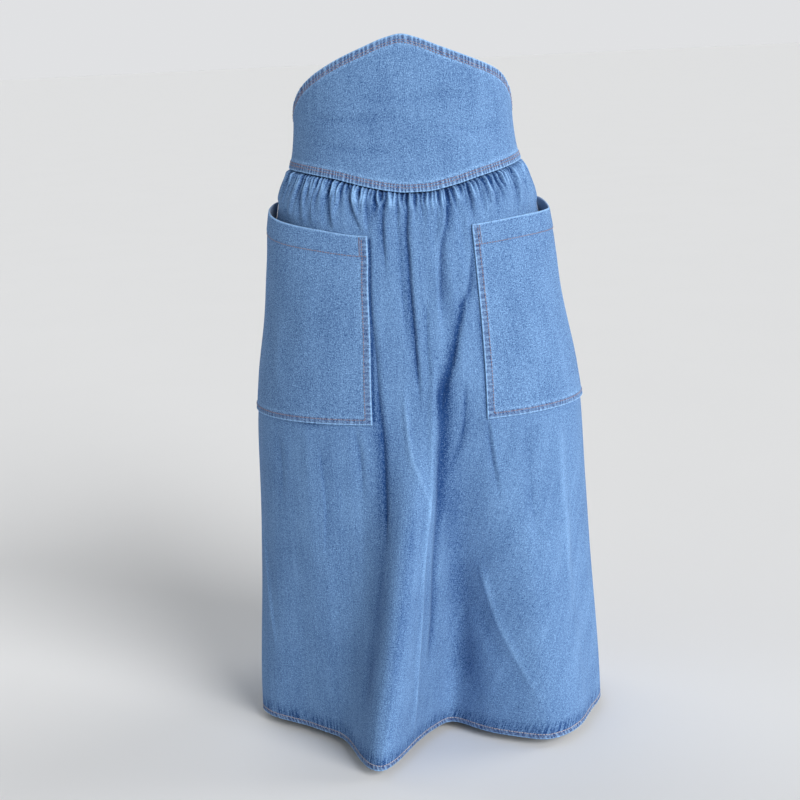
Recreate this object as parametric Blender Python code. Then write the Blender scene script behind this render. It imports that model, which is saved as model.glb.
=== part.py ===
"""Gathered denim midi skirt, filled out as if worn: shaped yoke, gathered panels, two patch pockets, back zip.

Run it with blender --background --python part.py. Metres and degrees, +Z up. The front faces -Y and +X is on the
right as seen from the front. The origin is the middle of the waist, where the wearer holds the skirt up.

Every cloth piece is a closed wall whose rows of points come from one surface: point_at(angle, height, out).
'angle' is in degrees on the skirt's oval and 'around' is the same in shares of the cloth's columns, -0.5 to 0.5.
Both are 0 at the centre front and negative to the left as seen from the front.
"""
import math
from collections import namedtuple

import bmesh
import bpy
from mathutils import Matrix, Vector

# ---- cloth and seams -------------------------------------------------------------------------------------------
GAP = 0.0003  # between pieces that are sewn or lie together
PANEL_WALL = 0.0014
WAVE_WALL = 0.0005  # more wall, measured outward, where the steep sides of a gather would thin it
HEM_WALL = 0.0024  # turned up twice
YOKE_WALL = 0.0020
YOKE_PROUD = 0.0006  # the yoke's edge lies over the gathers
POCKET_WALL = 0.0013
POCKET_HEM_WALL = 0.0022
POCKET_LIFT = 0.0006  # off the panel's facets where the pocket is sewn down

# ---- lengths ---------------------------------------------------------------------------------------------------
HEM_HEIGHT = -0.732
HEM_TURN = 0.009
GATHERS = 96  # all round
COLUMNS = 2 * GATHERS  # all round, one on each ridge and one in each valley
SIDE_COLUMN = 50  # the side seams, counted from the centre front: just behind the widest line
ROUND_SHARE = 3.9  # degrees that spread the columns evenly along the oval

# ---- the oval section of the skirt at each height --------------------------------------------------------------
Section = namedtuple("Section", "height half_width front back shift")
SECTIONS = (
    Section(0.100, 0.1265, 0.0945, 0.0900, 0.0000),
    Section(0.000, 0.1290, 0.0950, 0.0910, 0.0000),
    Section(-0.030, 0.1318, 0.0980, 0.0960, 0.0000),
    Section(-0.060, 0.1392, 0.1040, 0.1070, 0.0000),
    Section(-0.090, 0.1515, 0.1115, 0.1180, 0.0000),
    Section(-0.120, 0.1574, 0.1175, 0.1265, 0.0000),
    Section(-0.150, 0.1632, 0.1222, 0.1320, 0.0010),
    Section(-0.180, 0.1700, 0.1265, 0.1370, 0.0014),
    Section(-0.240, 0.1806, 0.1325, 0.1425, 0.0034),
    Section(-0.300, 0.1917, 0.1360, 0.1460, 0.0043),
    Section(-0.360, 0.1985, 0.1382, 0.1485, 0.0050),
    Section(-0.450, 0.2014, 0.1370, 0.1500, 0.0050),
    Section(-0.540, 0.2053, 0.1340, 0.1515, 0.0042),
    Section(-0.740, 0.2148, 0.1280, 0.1545, 0.0038),
)

# ---- the yoke's top edge and the seam under it, by degrees from the centre front -------------------------------
Edge = namedtuple("Edge", "angle top seam")
YOKE_EDGES = (
    Edge(-180, 0.008, -0.0600),
    Edge(-130, 0.005, -0.0560),
    Edge(-94, 0.010, -0.0525),
    Edge(-80, 0.0245, -0.0530),
    Edge(-64, 0.0440, -0.0545),
    Edge(-38, 0.069, -0.0610),
    Edge(-20, 0.084, -0.0705),
    Edge(-8, 0.0935, -0.0765),
    Edge(0, 0.0970, -0.0790),
    Edge(8, 0.0925, -0.0790),
    Edge(20, 0.082, -0.0745),
    Edge(38, 0.068, -0.0655),
    Edge(64, 0.0490, -0.0570),
    Edge(80, 0.0290, -0.0535),
    Edge(94, 0.0110, -0.0525),
    Edge(130, 0.005, -0.0560),
    Edge(180, 0.008, -0.0600),
)

# ---- gathers: how far the ridges stand out, by drop below the seam ---------------------------------------------
Ruffle = namedtuple("Ruffle", "drop ridge")
RUFFLE = (
    Ruffle(0.000, 0.0008),
    Ruffle(0.004, 0.0036),
    Ruffle(0.010, 0.0044),
    Ruffle(0.020, 0.0032),
    Ruffle(0.034, 0.0014),
    Ruffle(0.050, 0.0),
    Ruffle(0.700, 0.0),
)

# ---- long creases under the gathers, troughs where depth is positive: angle and drop of each end ----------------
Crease = namedtuple("Crease", "angle_top angle_low drop_top drop_low depth half_angle")
CREASES = (
    Crease(0.8, 0.4, 0.010, 0.200, 0.0060, 2.6),
    Crease(-10.5, -10.0, 0.010, 0.085, 0.0040, 2.4),
    Crease(-18.8, -18.0, 0.010, 0.060, 0.0040, 2.2),
    Crease(-27.0, -20.5, 0.008, 0.056, 0.0045, 2.4),
    Crease(-37.5, -34.0, 0.008, 0.070, 0.0040, 2.4),
    Crease(-52.0, -50.0, 0.008, 0.060, 0.0030, 3.0),
    Crease(-72.0, -74.0, 0.006, 0.055, 0.0040, 3.0),
    Crease(17.2, 9.8, 0.010, 0.130, 0.0045, 2.6),
    Crease(24.5, 21.0, 0.010, 0.070, 0.0030, 2.2),
    Crease(36.8, 34.0, 0.006, 0.060, 0.0035, 2.4),
    Crease(44.0, 40.0, 0.008, 0.060, 0.0030, 2.4),
    Crease(60.0, 56.0, 0.006, 0.065, 0.0045, 2.4),
    Crease(70.0, 68.5, 0.006, 0.055, 0.0035, 2.4),
    Crease(24.0, 15.0, 0.075, 0.200, 0.0050, 3.4),
    Crease(-14.5, -11.5, 0.120, 0.330, 0.0050, 3.0),
    Crease(104.0, 106.0, 0.010, 0.120, 0.0045, 2.8),
    Crease(122.0, 118.0, 0.008, 0.170, 0.0050, 2.8),
    Crease(139.0, 142.0, 0.010, 0.110, 0.0045, 2.8),
    Crease(156.0, 153.0, 0.010, 0.190, 0.0055, 2.8),
    Crease(-104.0, -107.0, 0.010, 0.150, 0.0050, 2.8),
    Crease(-121.0, -119.0, 0.010, 0.100, 0.0040, 2.8),
    Crease(-137.0, -141.0, 0.008, 0.180, 0.0055, 2.8),
    Crease(-158.0, -154.0, 0.010, 0.120, 0.0045, 2.8),
)

# ---- where the cloth of each angle above lands at the hem: it draws towards the great folds ----------------------
DRIFT_TOP = -0.270
Drift = namedtuple("Drift", "above hem")
DRIFTS = (
    Drift(-180.0, -180.0),
    Drift(-93.7, -93.7),
    Drift(-56.0, -60.0),
    Drift(-38.0, -43.0),
    Drift(-20.0, -29.5),
    Drift(-8.0, -21.5),
    Drift(1.0, -14.2),
    Drift(9.0, -7.6),
    Drift(16.0, 3.0),
    Drift(24.0, 18.0),
    Drift(33.0, 33.0),
    Drift(60.0, 61.0),
    Drift(93.7, 93.7),
    Drift(180.0, 180.0),
)

# ---- the great folds that open towards the hem: the angle above, the height where each starts, how far it stands
# ---- out at the hem, and its width to each side in degrees ---------------------------------------------------------
Fold = namedtuple("Fold", "angle start out_hem left_angle right_angle")
FOLDS = (
    Fold(1.0, -0.300, 0.089, 10.5, 6.5),
    Fold(18.0, -0.270, -0.049, 9.5, 9.5),
    Fold(35.0, -0.380, 0.042, 10.5, 20.0),
    Fold(-50.0, -0.420, -0.016, 20.0, 20.0),
    Fold(121.0, -0.340, 0.026, 10.0, 10.0),
    Fold(138.0, -0.320, -0.024, 9.0, 9.0),
    Fold(157.0, -0.300, 0.046, 11.0, 10.0),
    Fold(-176.0, -0.320, -0.024, 10.0, 10.0),
    Fold(-150.0, -0.280, 0.052, 10.0, 11.0),
    Fold(-127.0, -0.340, -0.024, 9.0, 9.0),
    Fold(-111.0, -0.380, 0.016, 9.0, 9.0),
)

# ---- pockets: front edge, mouth and bottom ---------------------------------------------------------------------
POCKET_BOTTOM = -0.341
POCKET_REAR = 93.7  # degrees, at the side seam
Mouth = namedtuple("Mouth", "angle height")
Pocket = namedtuple("Pocket", "name side front_top front_low gape gape_at belly mouth")
POCKETS = (
    Pocket("pocket_left", -1, 17.3, 16.7, 0.0112, 0.73, 0.0030,
           (Mouth(17, -0.125), Mouth(41, -0.1175), Mouth(66, -0.108), Mouth(82, -0.099), Mouth(94, -0.093))),
    Pocket("pocket_right", 1, 27.0, 22.5, 0.0130, 0.75, 0.0030,
           (Mouth(22, -0.119), Mouth(30, -0.118), Mouth(57, -0.1135), Mouth(80, -0.111), Mouth(94, -0.100))),
)
POCKET_COLUMNS = 20
GAPE_DEPTH = 0.58  # share of the pocket's depth over which its open mouth closes
COVER_TOP = -0.095  # folds on the panel fade out below this, behind the pockets, and return past their edges
COVER_DROP = 0.020
COVER_FADE = 4.5  # degrees
PocketRow = namedtuple("PocketRow", "down wall")
POCKET_ROWS = (
    PocketRow(0.000, POCKET_HEM_WALL),
    PocketRow(0.050, POCKET_HEM_WALL),
    PocketRow(0.105, POCKET_HEM_WALL),
    PocketRow(0.115, POCKET_WALL),
    PocketRow(0.220, POCKET_WALL),
    PocketRow(0.360, POCKET_WALL),
    PocketRow(0.520, POCKET_WALL),
    PocketRow(0.700, POCKET_WALL),
    PocketRow(0.860, POCKET_WALL),
    PocketRow(1.000, POCKET_WALL),
)

# ---- zip at the centre back ------------------------------------------------------------------------------------
SLOT_HALF = 0.0037  # from the centre line to each cloth edge beside the zip
SLOT_REACH = 0.013  # the cloth beside the slot is drawn aside over this width
ZIP_END = -0.100
SLOT_CLOSING = 0.016
TAPE_TOP = 0.004
TAPE_LOW = -0.113
TAPE_ROWS = 13
TAPE_HALF = 0.0130
TAPE_WALL = 0.0010
TAPE_OUT = -(PANEL_WALL + GAP + 0.0001)  # the tape's face, from the cloth's outer face
CHAIN_HALF = 0.0021  # width of each half of the tooth chain
CHAIN_STEP = 0.0002
CHAIN_PROUD = 0.0011
CHAIN_SPREAD = 0.0011  # from the centre line, where the two halves pass the slider's bridge
SLIDER_HEIGHT = -0.0060
SLIDER_LENGTH = 0.0095
SLIDER_HALF = 0.0034
SLIDER_PLATE = 0.0010
PLATE_BACK = TAPE_OUT + CHAIN_PROUD + GAP  # the slider's front plate, from the cloth's outer face
PLATE_FRONT = PLATE_BACK + SLIDER_PLATE
BRIDGE_HALF = 0.0007
BAIL_HALF = 0.0006
BAIL_WALL = 0.0010
BAIL_HOLE = 0.0018
BAIL_HOLE_LENGTH = 0.0020
BAIL_CENTRE = 0.0005  # above the slider's middle
TAB_HALF = 0.0024
TAB_LENGTH = 0.0210  # below its bar
TAB_WALL = 0.0010
TAB_WINDOW = 0.0050
TAB_SIDE_GAP = 0.0004
TAB_ARC_STEPS = 8

DENIM = (0.155, 0.285, 0.540)
POCKET_DENIM = (0.175, 0.310, 0.560)
TAPE_BLUE = (0.070, 0.110, 0.220)
ZIP_METAL = (0.560, 0.420, 0.210)


# ---- small maths -----------------------------------------------------------------------------------------------
def smooth(share):
    """0 to 1 with level ends."""
    share = min(max(share, 0.0), 1.0)
    return share * share * (3.0 - 2.0 * share)


def slope(rows, key, value, i):
    """The slope of a table's column at row i, for a smooth curve that never overshoots."""
    if i == 0 or i == len(rows) - 1:
        return 0.0
    steps = []
    for a, b in ((rows[i - 1], rows[i]), (rows[i], rows[i + 1])):
        steps.append((getattr(b, value) - getattr(a, value)) / (getattr(b, key) - getattr(a, key)))
    if steps[0] * steps[1] <= 0:
        return 0.0
    return 2.0 * steps[0] * steps[1] / (steps[0] + steps[1])


def read(rows, key, value, at):
    """The named column of a table at a place between its rows."""
    rising = getattr(rows[-1], key) > getattr(rows[0], key)
    last = len(rows) - 1
    i = 0
    while i < last - 1 and (at > getattr(rows[i + 1], key)) == rising:
        i += 1
    a, b = rows[i], rows[i + 1]
    span = getattr(b, key) - getattr(a, key)
    t = min(max((at - getattr(a, key)) / span, 0.0), 1.0)
    low, high = getattr(a, value), getattr(b, value)
    push, pull = slope(rows, key, value, i) * span, slope(rows, key, value, i + 1) * span
    return (low * (1 + 2 * t) * (1 - t) ** 2 + high * (3 - 2 * t) * t * t
            + push * t * (1 - t) ** 2 - pull * t * t * (1 - t))


def turn_apart(a, b):
    """Degrees from b to a, the short way round."""
    return (a - b + 180.0) % 360.0 - 180.0


def bump(distance, left, right):
    """1 at 0, fading to the left and to the right over the given widths."""
    width = left if distance < 0 else right
    return math.exp(-(distance / width) ** 2)


# ---- the shape of the skirt ------------------------------------------------------------------------------------
def angle_of(around):
    """Degrees on the oval for a share of the way round."""
    flat = 360.0 * around
    return flat - ROUND_SHARE * math.sin(math.radians(2.0 * flat))


def around_of(angle):
    """The share of the way round that angle_of turns into this angle."""
    flat = angle
    for _ in range(8):
        flat = angle + ROUND_SHARE * math.sin(math.radians(2.0 * flat))
    return flat / 360.0


def oval(angle, height):
    """The plain oval's point at an angle and height, with its level outward direction."""
    half = read(SECTIONS, "height", "half_width", height)
    deep = read(SECTIONS, "height", "front" if abs(angle) <= 90 else "back", height)
    shift = read(SECTIONS, "height", "shift", height)
    sine, cosine = math.sin(math.radians(angle)), math.cos(math.radians(angle))
    outward = Vector((deep * sine, -half * cosine, 0.0)).normalized()
    return Vector((half * sine + shift, -deep * cosine, height)), outward


def yoke_top(angle):
    return read(YOKE_EDGES, "angle", "top", angle)


def seam_height(angle):
    return read(YOKE_EDGES, "angle", "seam", angle)


def behind_pocket(angle, height):
    """1 where a pocket lies on the panel, so that the cloth is plain there, and 0 away from it."""
    front = min(pocket.front_low for pocket in POCKETS if pocket.side * angle > 0.0 or angle == 0.0)
    side = smooth((abs(angle) - front) / COVER_FADE + 1.0) * smooth((POCKET_REAR - abs(angle)) / COVER_FADE + 1.0)
    low = smooth((height - POCKET_BOTTOM) / COVER_DROP + 1.0)
    high = smooth((COVER_TOP - height) / COVER_DROP)
    return low * high * side


def gather_calm(angle):
    """0 beside the zip, where the cloth lies flat, and 1 away from it."""
    return smooth((180.0 - abs(angle) - 5.0) / 7.0)


def gather(angle, drop):
    """How far a gather stands out. A ridge lies on each even column and a valley on each odd one."""
    if drop >= RUFFLE[-2].drop:
        return 0.0
    wave = 0.5 + 0.5 * math.cos(2.0 * math.pi * GATHERS * around_of(angle))
    uneven = 0.80 + 0.20 * math.sin(23.0 * math.radians(angle) + 1.3) * math.cos(9.0 * math.radians(angle))
    return read(RUFFLE, "drop", "ridge", drop) * wave * uneven * gather_calm(angle)


def creases(angle, drop):
    """How far the long creases draw the cloth in."""
    inward = 0.0
    for row in CREASES:
        if not row.drop_top < drop < row.drop_low:
            continue
        along = (drop - row.drop_top) / (row.drop_low - row.drop_top)
        middle = row.angle_top + (row.angle_low - row.angle_top) * along
        fade = smooth(along / 0.25) * smooth((1.0 - along) / 0.55)
        inward += row.depth * fade * bump(turn_apart(angle, middle), row.half_angle, row.half_angle)
    return inward


def drifted(angle, height):
    """Where the cloth that hangs at an angle above has drawn to at a height."""
    along = (DRIFT_TOP - height) / (DRIFT_TOP - HEM_HEIGHT)
    return angle + (read(DRIFTS, "above", "hem", angle) - angle) * max(along, 0.0)


def folds(angle, height):
    """How far the great folds stand out, in or out, growing from where each starts down to the hem."""
    out = 0.0
    for row in FOLDS:
        along = (row.start - height) / (row.start - HEM_HEIGHT)
        if along <= 0.0:
            continue
        distance = turn_apart(angle, drifted(row.angle, height))
        out += row.out_hem * along * smooth(along / 0.35) * bump(distance, row.left_angle, row.right_angle)
    return out


def draped(angle, height):
    """The oval with its great folds, before the gathers and creases."""
    base, outward = oval(angle, height)
    return base + outward * folds(angle, height) * (1.0 - behind_pocket(angle, height))


def facing(angle, height):
    """The level direction out of the draped cloth."""
    across = draped(angle + 0.4, height) - draped(angle - 0.4, height)
    return Vector((across.y, -across.x, 0.0)).normalized()


def slot_half(height):
    """Half the width of the opening for the zip, closing to a seam at the zip's end."""
    return SLOT_HALF + (GAP / 2 - SLOT_HALF) * smooth((ZIP_END - height) / SLOT_CLOSING)


def beside_slot(around, height):
    """The share of the way round, drawn aside from the centre back by the opening for the zip."""
    half_width = read(SECTIONS, "height", "half_width", height)
    metres_a_turn = 2.0 * math.pi * half_width * (1.0 - 2.0 * math.radians(ROUND_SHARE))
    to_back = (0.5 - abs(around)) * metres_a_turn
    if to_back > SLOT_REACH:
        return around
    aside = slot_half(height) * (1.0 - to_back / SLOT_REACH)
    return math.copysign(abs(around) - aside / metres_a_turn, around)


def point_at(angle, height, out=0.0):
    """A point of the skirt's outer face below the seam, moved out by a distance."""
    drop = max(seam_height(angle) - height, 0.0)
    relief = gather(angle, drop) - creases(angle, drop)
    outward = facing(angle, height)
    return draped(angle, height) + outward * (relief * (1.0 - behind_pocket(angle, height)) + out)


# ---- walls -----------------------------------------------------------------------------------------------------
def strip(mesh, upper, lower):
    """Triangles between two rows of points, cut the same way each time, where one row may have twice the steps."""
    if len(upper) == len(lower):
        for i in range(len(upper) - 1):
            mesh.faces.new((upper[i], lower[i], lower[i + 1]))
            mesh.faces.new((upper[i], lower[i + 1], upper[i + 1]))
        return
    fine, coarse = (upper, lower) if len(upper) > len(lower) else (lower, upper)
    for i in range(len(coarse) - 1):
        a, b, c = fine[2 * i:2 * i + 3]
        d, e = coarse[i:i + 2]
        for face in ((a, d, b), (b, d, e), (b, e, c)):
            mesh.faces.new(face)


def new_object(name, mesh, material):
    data = bpy.data.meshes.new(name)
    mesh.to_mesh(data)
    mesh.free()
    data.shade_smooth()
    data.set_sharp_from_angle(angle=math.radians(50.0))
    data.materials.append(material)
    made = bpy.data.objects.new(name, data)
    bpy.context.scene.collection.objects.link(made)
    return made


def wall(name, material, outer, inner):
    """A closed wall from the rows of its outer and inner face, top row first, each row from left to right."""
    mesh = bmesh.new()
    outer = [[mesh.verts.new(point) for point in row] for row in outer]
    inner = [[mesh.verts.new(point) for point in row] for row in inner]
    for rows in (outer, inner):
        for upper, lower in zip(rows, rows[1:]):
            strip(mesh, upper, lower)
    strip(mesh, inner[0], outer[0])
    strip(mesh, outer[-1], inner[-1])
    strip(mesh, [row[0] for row in inner], [row[0] for row in outer])
    strip(mesh, [row[-1] for row in outer], [row[-1] for row in inner])
    bmesh.ops.recalc_face_normals(mesh, faces=mesh.faces)
    return new_object(name, mesh, material)


# ---- skirt panels and yoke -------------------------------------------------------------------------------------
SkirtRow = namedtuple("SkirtRow", "drop back_step wall more")
FULL_DROP = 0.670  # from the seam to the hem
FRONT_STEP = 1
SKIRT_ROWS = (
    SkirtRow(0.000, 1, PANEL_WALL, 0.0),
    SkirtRow(0.004, 1, PANEL_WALL, WAVE_WALL),
    SkirtRow(0.010, 1, PANEL_WALL, WAVE_WALL),
    SkirtRow(0.020, 1, PANEL_WALL, WAVE_WALL),
    SkirtRow(0.034, 1, PANEL_WALL, 0.0),
    SkirtRow(0.055, 1, PANEL_WALL, 0.0),
    SkirtRow(0.082, 1, PANEL_WALL, 0.0),
    SkirtRow(0.115, 1, PANEL_WALL, 0.0),
    SkirtRow(0.155, 1, PANEL_WALL, 0.0),
    SkirtRow(0.200, 2, PANEL_WALL, 0.0),
    SkirtRow(0.250, 2, PANEL_WALL, 0.0),
    SkirtRow(0.305, 2, PANEL_WALL, 0.0),
    SkirtRow(0.365, 2, PANEL_WALL, 0.0),
    SkirtRow(0.425, 2, PANEL_WALL, 0.0),
    SkirtRow(0.485, 2, PANEL_WALL, 0.0),
    SkirtRow(0.545, 2, PANEL_WALL, 0.0),
    SkirtRow(0.605, 2, PANEL_WALL, 0.0),
    SkirtRow(FULL_DROP - HEM_TURN, 2, HEM_WALL, 0.0),
    SkirtRow(FULL_DROP, 2, HEM_WALL, 0.0),
)
YOKE_ROWS = (0.0, 0.10, 0.32, 0.56, 0.80, 1.0)  # shares of the way from the top edge to the seam
YOKE_STEP = 2  # yoke columns are twice as wide as a gather's


def skirt_rows(share):
    """(height, wall) of each row at a share of the way round, level with the seam above and the floor below."""
    angle = angle_of(share)
    seam = seam_height(angle) - GAP
    calm = gather_calm(angle)
    for row in SKIRT_ROWS:
        yield seam + (HEM_HEIGHT - seam) * row.drop / FULL_DROP, row.wall + row.more * calm


def skirt_point(share, row, inside):
    height, thick = list(skirt_rows(share))[row]
    angle = drifted(angle_of(beside_slot(share, height)), height)
    return point_at(angle, height, -thick if inside else 0.0)


def yoke_point(share, row, inside):
    top, low = yoke_top(angle_of(share)), seam_height(angle_of(share))
    height = top + (low - top) * YOKE_ROWS[row]
    base, outward = oval(angle_of(beside_slot(share, height)), height)
    return base + outward * (YOKE_PROUD - (YOKE_WALL if inside else 0.0))


def panel(name, material, place, steps, start, end):
    """A closed cloth wall between two seams, in columns of the whole round. steps holds each row's column step."""
    faces = {False: [], True: []}
    for row, step in enumerate(steps):
        for inside, lines in faces.items():
            line = [place(column / COLUMNS, row, inside) for column in range(start, end + 1, step)]
            if start > -COLUMNS // 2:
                line[0] += (line[1] - line[0]).normalized() * GAP / 2
            if end < COLUMNS // 2:
                line[-1] += (line[-2] - line[-1]).normalized() * GAP / 2
            lines.append(line)
    return wall(name, material, faces[False], faces[True])


# ---- pockets ---------------------------------------------------------------------------------------------------
def pocket_point(pocket, across, down, thick):
    """A point of the pocket bag: across from its front edge to its rear, down from its mouth to its bottom."""
    front = pocket.front_top + (pocket.front_low - pocket.front_top) * down
    angle = front + (POCKET_REAR - front) * across
    mouth = read(pocket.mouth, "angle", "height", angle)
    height = mouth + (POCKET_BOTTOM - mouth) * down
    arch = math.sin(math.pi * across ** (math.log(0.5) / math.log(pocket.gape_at)))
    gape = pocket.gape * max(arch, 0.0) * (1.0 - smooth(down / GAPE_DEPTH)) ** 1.5
    belly = pocket.belly * math.sin(math.pi * across) * math.sin(math.pi * down)
    return point_at(pocket.side * angle, height, POCKET_LIFT + gape + belly + thick)


def pocket_bag(pocket, material):
    outer, inner = [], []
    for row in POCKET_ROWS:
        for lines, thick in ((outer, row.wall), (inner, 0.0)):
            shares = [column / POCKET_COLUMNS for column in range(POCKET_COLUMNS + 1)]
            lines.append([pocket_point(pocket, share, row.down, thick) for share in shares])
    return wall(pocket.name, material, outer, inner)


# ---- zip -------------------------------------------------------------------------------------------------------
def back_point(across, height, out):
    """A point beside the centre back line, moved out from the cloth's outer face."""
    half_width = read(SECTIONS, "height", "half_width", height)
    angle = 180.0 - math.degrees(math.asin(across / half_width))
    base, outward = oval(angle, height)
    return Vector((across, base.y + outward.y * out, height))


def lean(low, high):
    """The turn about +X that brings +Z along the centre back line between two heights."""
    return math.atan2(back_point(0.0, low, 0.0).y - back_point(0.0, high, 0.0).y, high - low)


def chain_edge(height):
    """From the centre line to the edge of one half of the tooth chain, which spreads above the slider's middle."""
    low = SLIDER_HEIGHT - SLIDER_LENGTH / 2
    return GAP / 2 + (CHAIN_SPREAD - GAP / 2) * smooth((height - low) / (SLIDER_LENGTH / 2))


def zip_tape(name, side, material):
    outer, inner = [], []
    heights = [TAPE_TOP + (ZIP_END - TAPE_TOP) * row / TAPE_ROWS for row in range(TAPE_ROWS + 1)]
    for height in heights + [ZIP_END - CHAIN_STEP, TAPE_LOW]:
        edge = chain_edge(height)
        across = (edge, edge + CHAIN_HALF, edge + CHAIN_HALF + CHAIN_STEP, TAPE_HALF)
        chain = CHAIN_PROUD if height >= ZIP_END else 0.0
        proud = (chain, chain, 0.0, 0.0)
        outer.append([back_point(side * x, height, TAPE_OUT + more) for x, more in zip(across, proud)])
        inner.append([back_point(side * x, height, TAPE_OUT - TAPE_WALL) for x in across])
    return wall(name, material, outer, inner)


def prism(outline, near, far):
    """A closed mesh: an outline of (x, z) points, drawn out along Y."""
    mesh = bmesh.new()
    near_ring = [mesh.verts.new((x, near, z)) for x, z in outline]
    far_ring = [mesh.verts.new((x, far, z)) for x, z in outline]
    mesh.faces.new(near_ring)
    mesh.faces.new(far_ring[::-1])
    for i in range(len(outline)):
        mesh.faces.new((near_ring[i - 1], far_ring[i - 1], far_ring[i], near_ring[i]))
    bmesh.ops.recalc_face_normals(mesh, faces=mesh.faces)
    return mesh


def box(half_width, near, far, low, high):
    outline = ((-half_width, low), (half_width, low), (half_width, high), (-half_width, high))
    return prism(outline, near, far)


def combine(made, others, operation):
    """Adds or cuts the other meshes, which share the object's place, with Boolean modifiers."""
    for i, mesh in enumerate(others):
        tool = new_object(f"{made.name}_{operation.lower()}_{i}", mesh, made.data.materials[0])
        tool.hide_render = True
        tool.display_type = "WIRE"
        tool.matrix_world = made.matrix_world
        change = made.modifiers.new(tool.name, "BOOLEAN")
        change.operation = operation
        change.object = tool


def zip_slider(material, place):
    """Two plates round the chain, held apart by a bridge, with a bail in front for the pull tab."""
    half = SLIDER_LENGTH / 2
    made = new_object("zip_slider", box(SLIDER_HALF, PLATE_BACK, PLATE_FRONT, -half, half), material)
    made.matrix_world = place
    sunk = 0.0002  # the added shapes reach this far into what they join
    rear_front = TAPE_OUT - TAPE_WALL - GAP
    bail_half = BAIL_HOLE_LENGTH / 2 + BAIL_WALL
    bail_far = PLATE_FRONT + BAIL_HOLE + BAIL_WALL
    combine(made, (
        box(SLIDER_HALF, rear_front - SLIDER_PLATE, rear_front, -half, half),
        box(BRIDGE_HALF, rear_front - sunk, PLATE_BACK + sunk, 0.0, half),
        box(BAIL_HALF, PLATE_FRONT - sunk, bail_far, BAIL_CENTRE - bail_half, BAIL_CENTRE + bail_half),
    ), "UNION")
    hole = BAIL_HOLE_LENGTH / 2
    combine(made, (
        box(2 * BAIL_HALF, PLATE_FRONT, PLATE_FRONT + BAIL_HOLE, BAIL_CENTRE - hole, BAIL_CENTRE + hole),
    ), "DIFFERENCE")
    return made


def zip_pull(material, place):
    """A flat tab with a round end, hung by the bar above its window. Its origin is that bar's middle."""
    arc = [math.pi * (1.0 + i / TAB_ARC_STEPS) for i in range(TAB_ARC_STEPS + 1)]
    centre = TAB_HALF - TAB_LENGTH
    outline = [(TAB_HALF * math.cos(a), centre + TAB_HALF * math.sin(a)) for a in arc]
    outline += [(TAB_HALF, TAB_WALL / 2), (-TAB_HALF, TAB_WALL / 2)]
    made = new_object("zip_pull", prism(outline, -TAB_WALL / 2, TAB_WALL / 2), material)
    made.matrix_world = place
    window = box(BAIL_HALF + TAB_SIDE_GAP, -TAB_WALL, TAB_WALL, -TAB_WALL / 2 - TAB_WINDOW, -TAB_WALL / 2)
    combine(made, (window,), "DIFFERENCE")
    return made


# ---- the whole skirt -------------------------------------------------------------------------------------------
def finish(name, colour, roughness, metallic=0.0):
    made = bpy.data.materials.new(name)
    made.use_nodes = True
    shader = made.node_tree.nodes["Principled BSDF"]
    shader.inputs["Base Color"].default_value = (*colour, 1.0)
    shader.inputs["Roughness"].default_value = roughness
    shader.inputs["Metallic"].default_value = metallic
    return made


def main():
    for old in list(bpy.data.objects):
        bpy.data.objects.remove(old)
    denim = finish("denim", DENIM, 0.92)
    pocket_denim = finish("pocket_denim", POCKET_DENIM, 0.92)
    tape = finish("zip_tape", TAPE_BLUE, 0.85)
    metal = finish("zip_metal", ZIP_METAL, 0.35, 1.0)

    left, right, back = -SIDE_COLUMN, SIDE_COLUMN, COLUMNS // 2
    front_steps = [FRONT_STEP] * len(SKIRT_ROWS)
    back_steps = [row.back_step for row in SKIRT_ROWS]
    yoke_steps = [YOKE_STEP] * len(YOKE_ROWS)
    panel("yoke_front", denim, yoke_point, yoke_steps, left, right)
    panel("yoke_back_right", denim, yoke_point, yoke_steps, right, back)
    panel("yoke_back_left", denim, yoke_point, yoke_steps, -back, left)
    panel("skirt_front", denim, skirt_point, front_steps, left, right)
    panel("skirt_back_right", denim, skirt_point, back_steps, right, back)
    panel("skirt_back_left", denim, skirt_point, back_steps, -back, left)
    for pocket in POCKETS:
        pocket_bag(pocket, pocket_denim)

    zip_tape("zip_tape_right", 1, tape)
    zip_tape("zip_tape_left", -1, tape)
    on_back = Matrix.Translation(back_point(0.0, SLIDER_HEIGHT, 0.0))
    half = SLIDER_LENGTH / 2
    slider_place = on_back @ Matrix.Rotation(lean(SLIDER_HEIGHT - half, SLIDER_HEIGHT + half), 4, "X")
    zip_slider(metal, slider_place)
    hinge = slider_place @ Vector((0.0, PLATE_FRONT + GAP + TAB_WALL / 2, BAIL_CENTRE))
    hang = Matrix.Rotation(lean(hinge.z - TAB_LENGTH, hinge.z), 4, "X")
    zip_pull(metal, Matrix.Translation(hinge) @ hang)


main()
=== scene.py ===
"""Looks of a gathered denim midi skirt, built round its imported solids.

Laid out as an add-on and run as a script. Metres and degrees, +Z up, the front faces -Y and +X is on the
right. Cloth pieces are fine closed shells that stand for the solids. Their form is the solids' own oval
sections and great folds, with gathers, creases, puckers and rolled edges on top.
"""
import math
from collections import namedtuple

import bpy
import numpy as np
from bpy.props import FloatProperty, FloatVectorProperty, IntProperty, PointerProperty
from mathutils import Matrix


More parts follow.
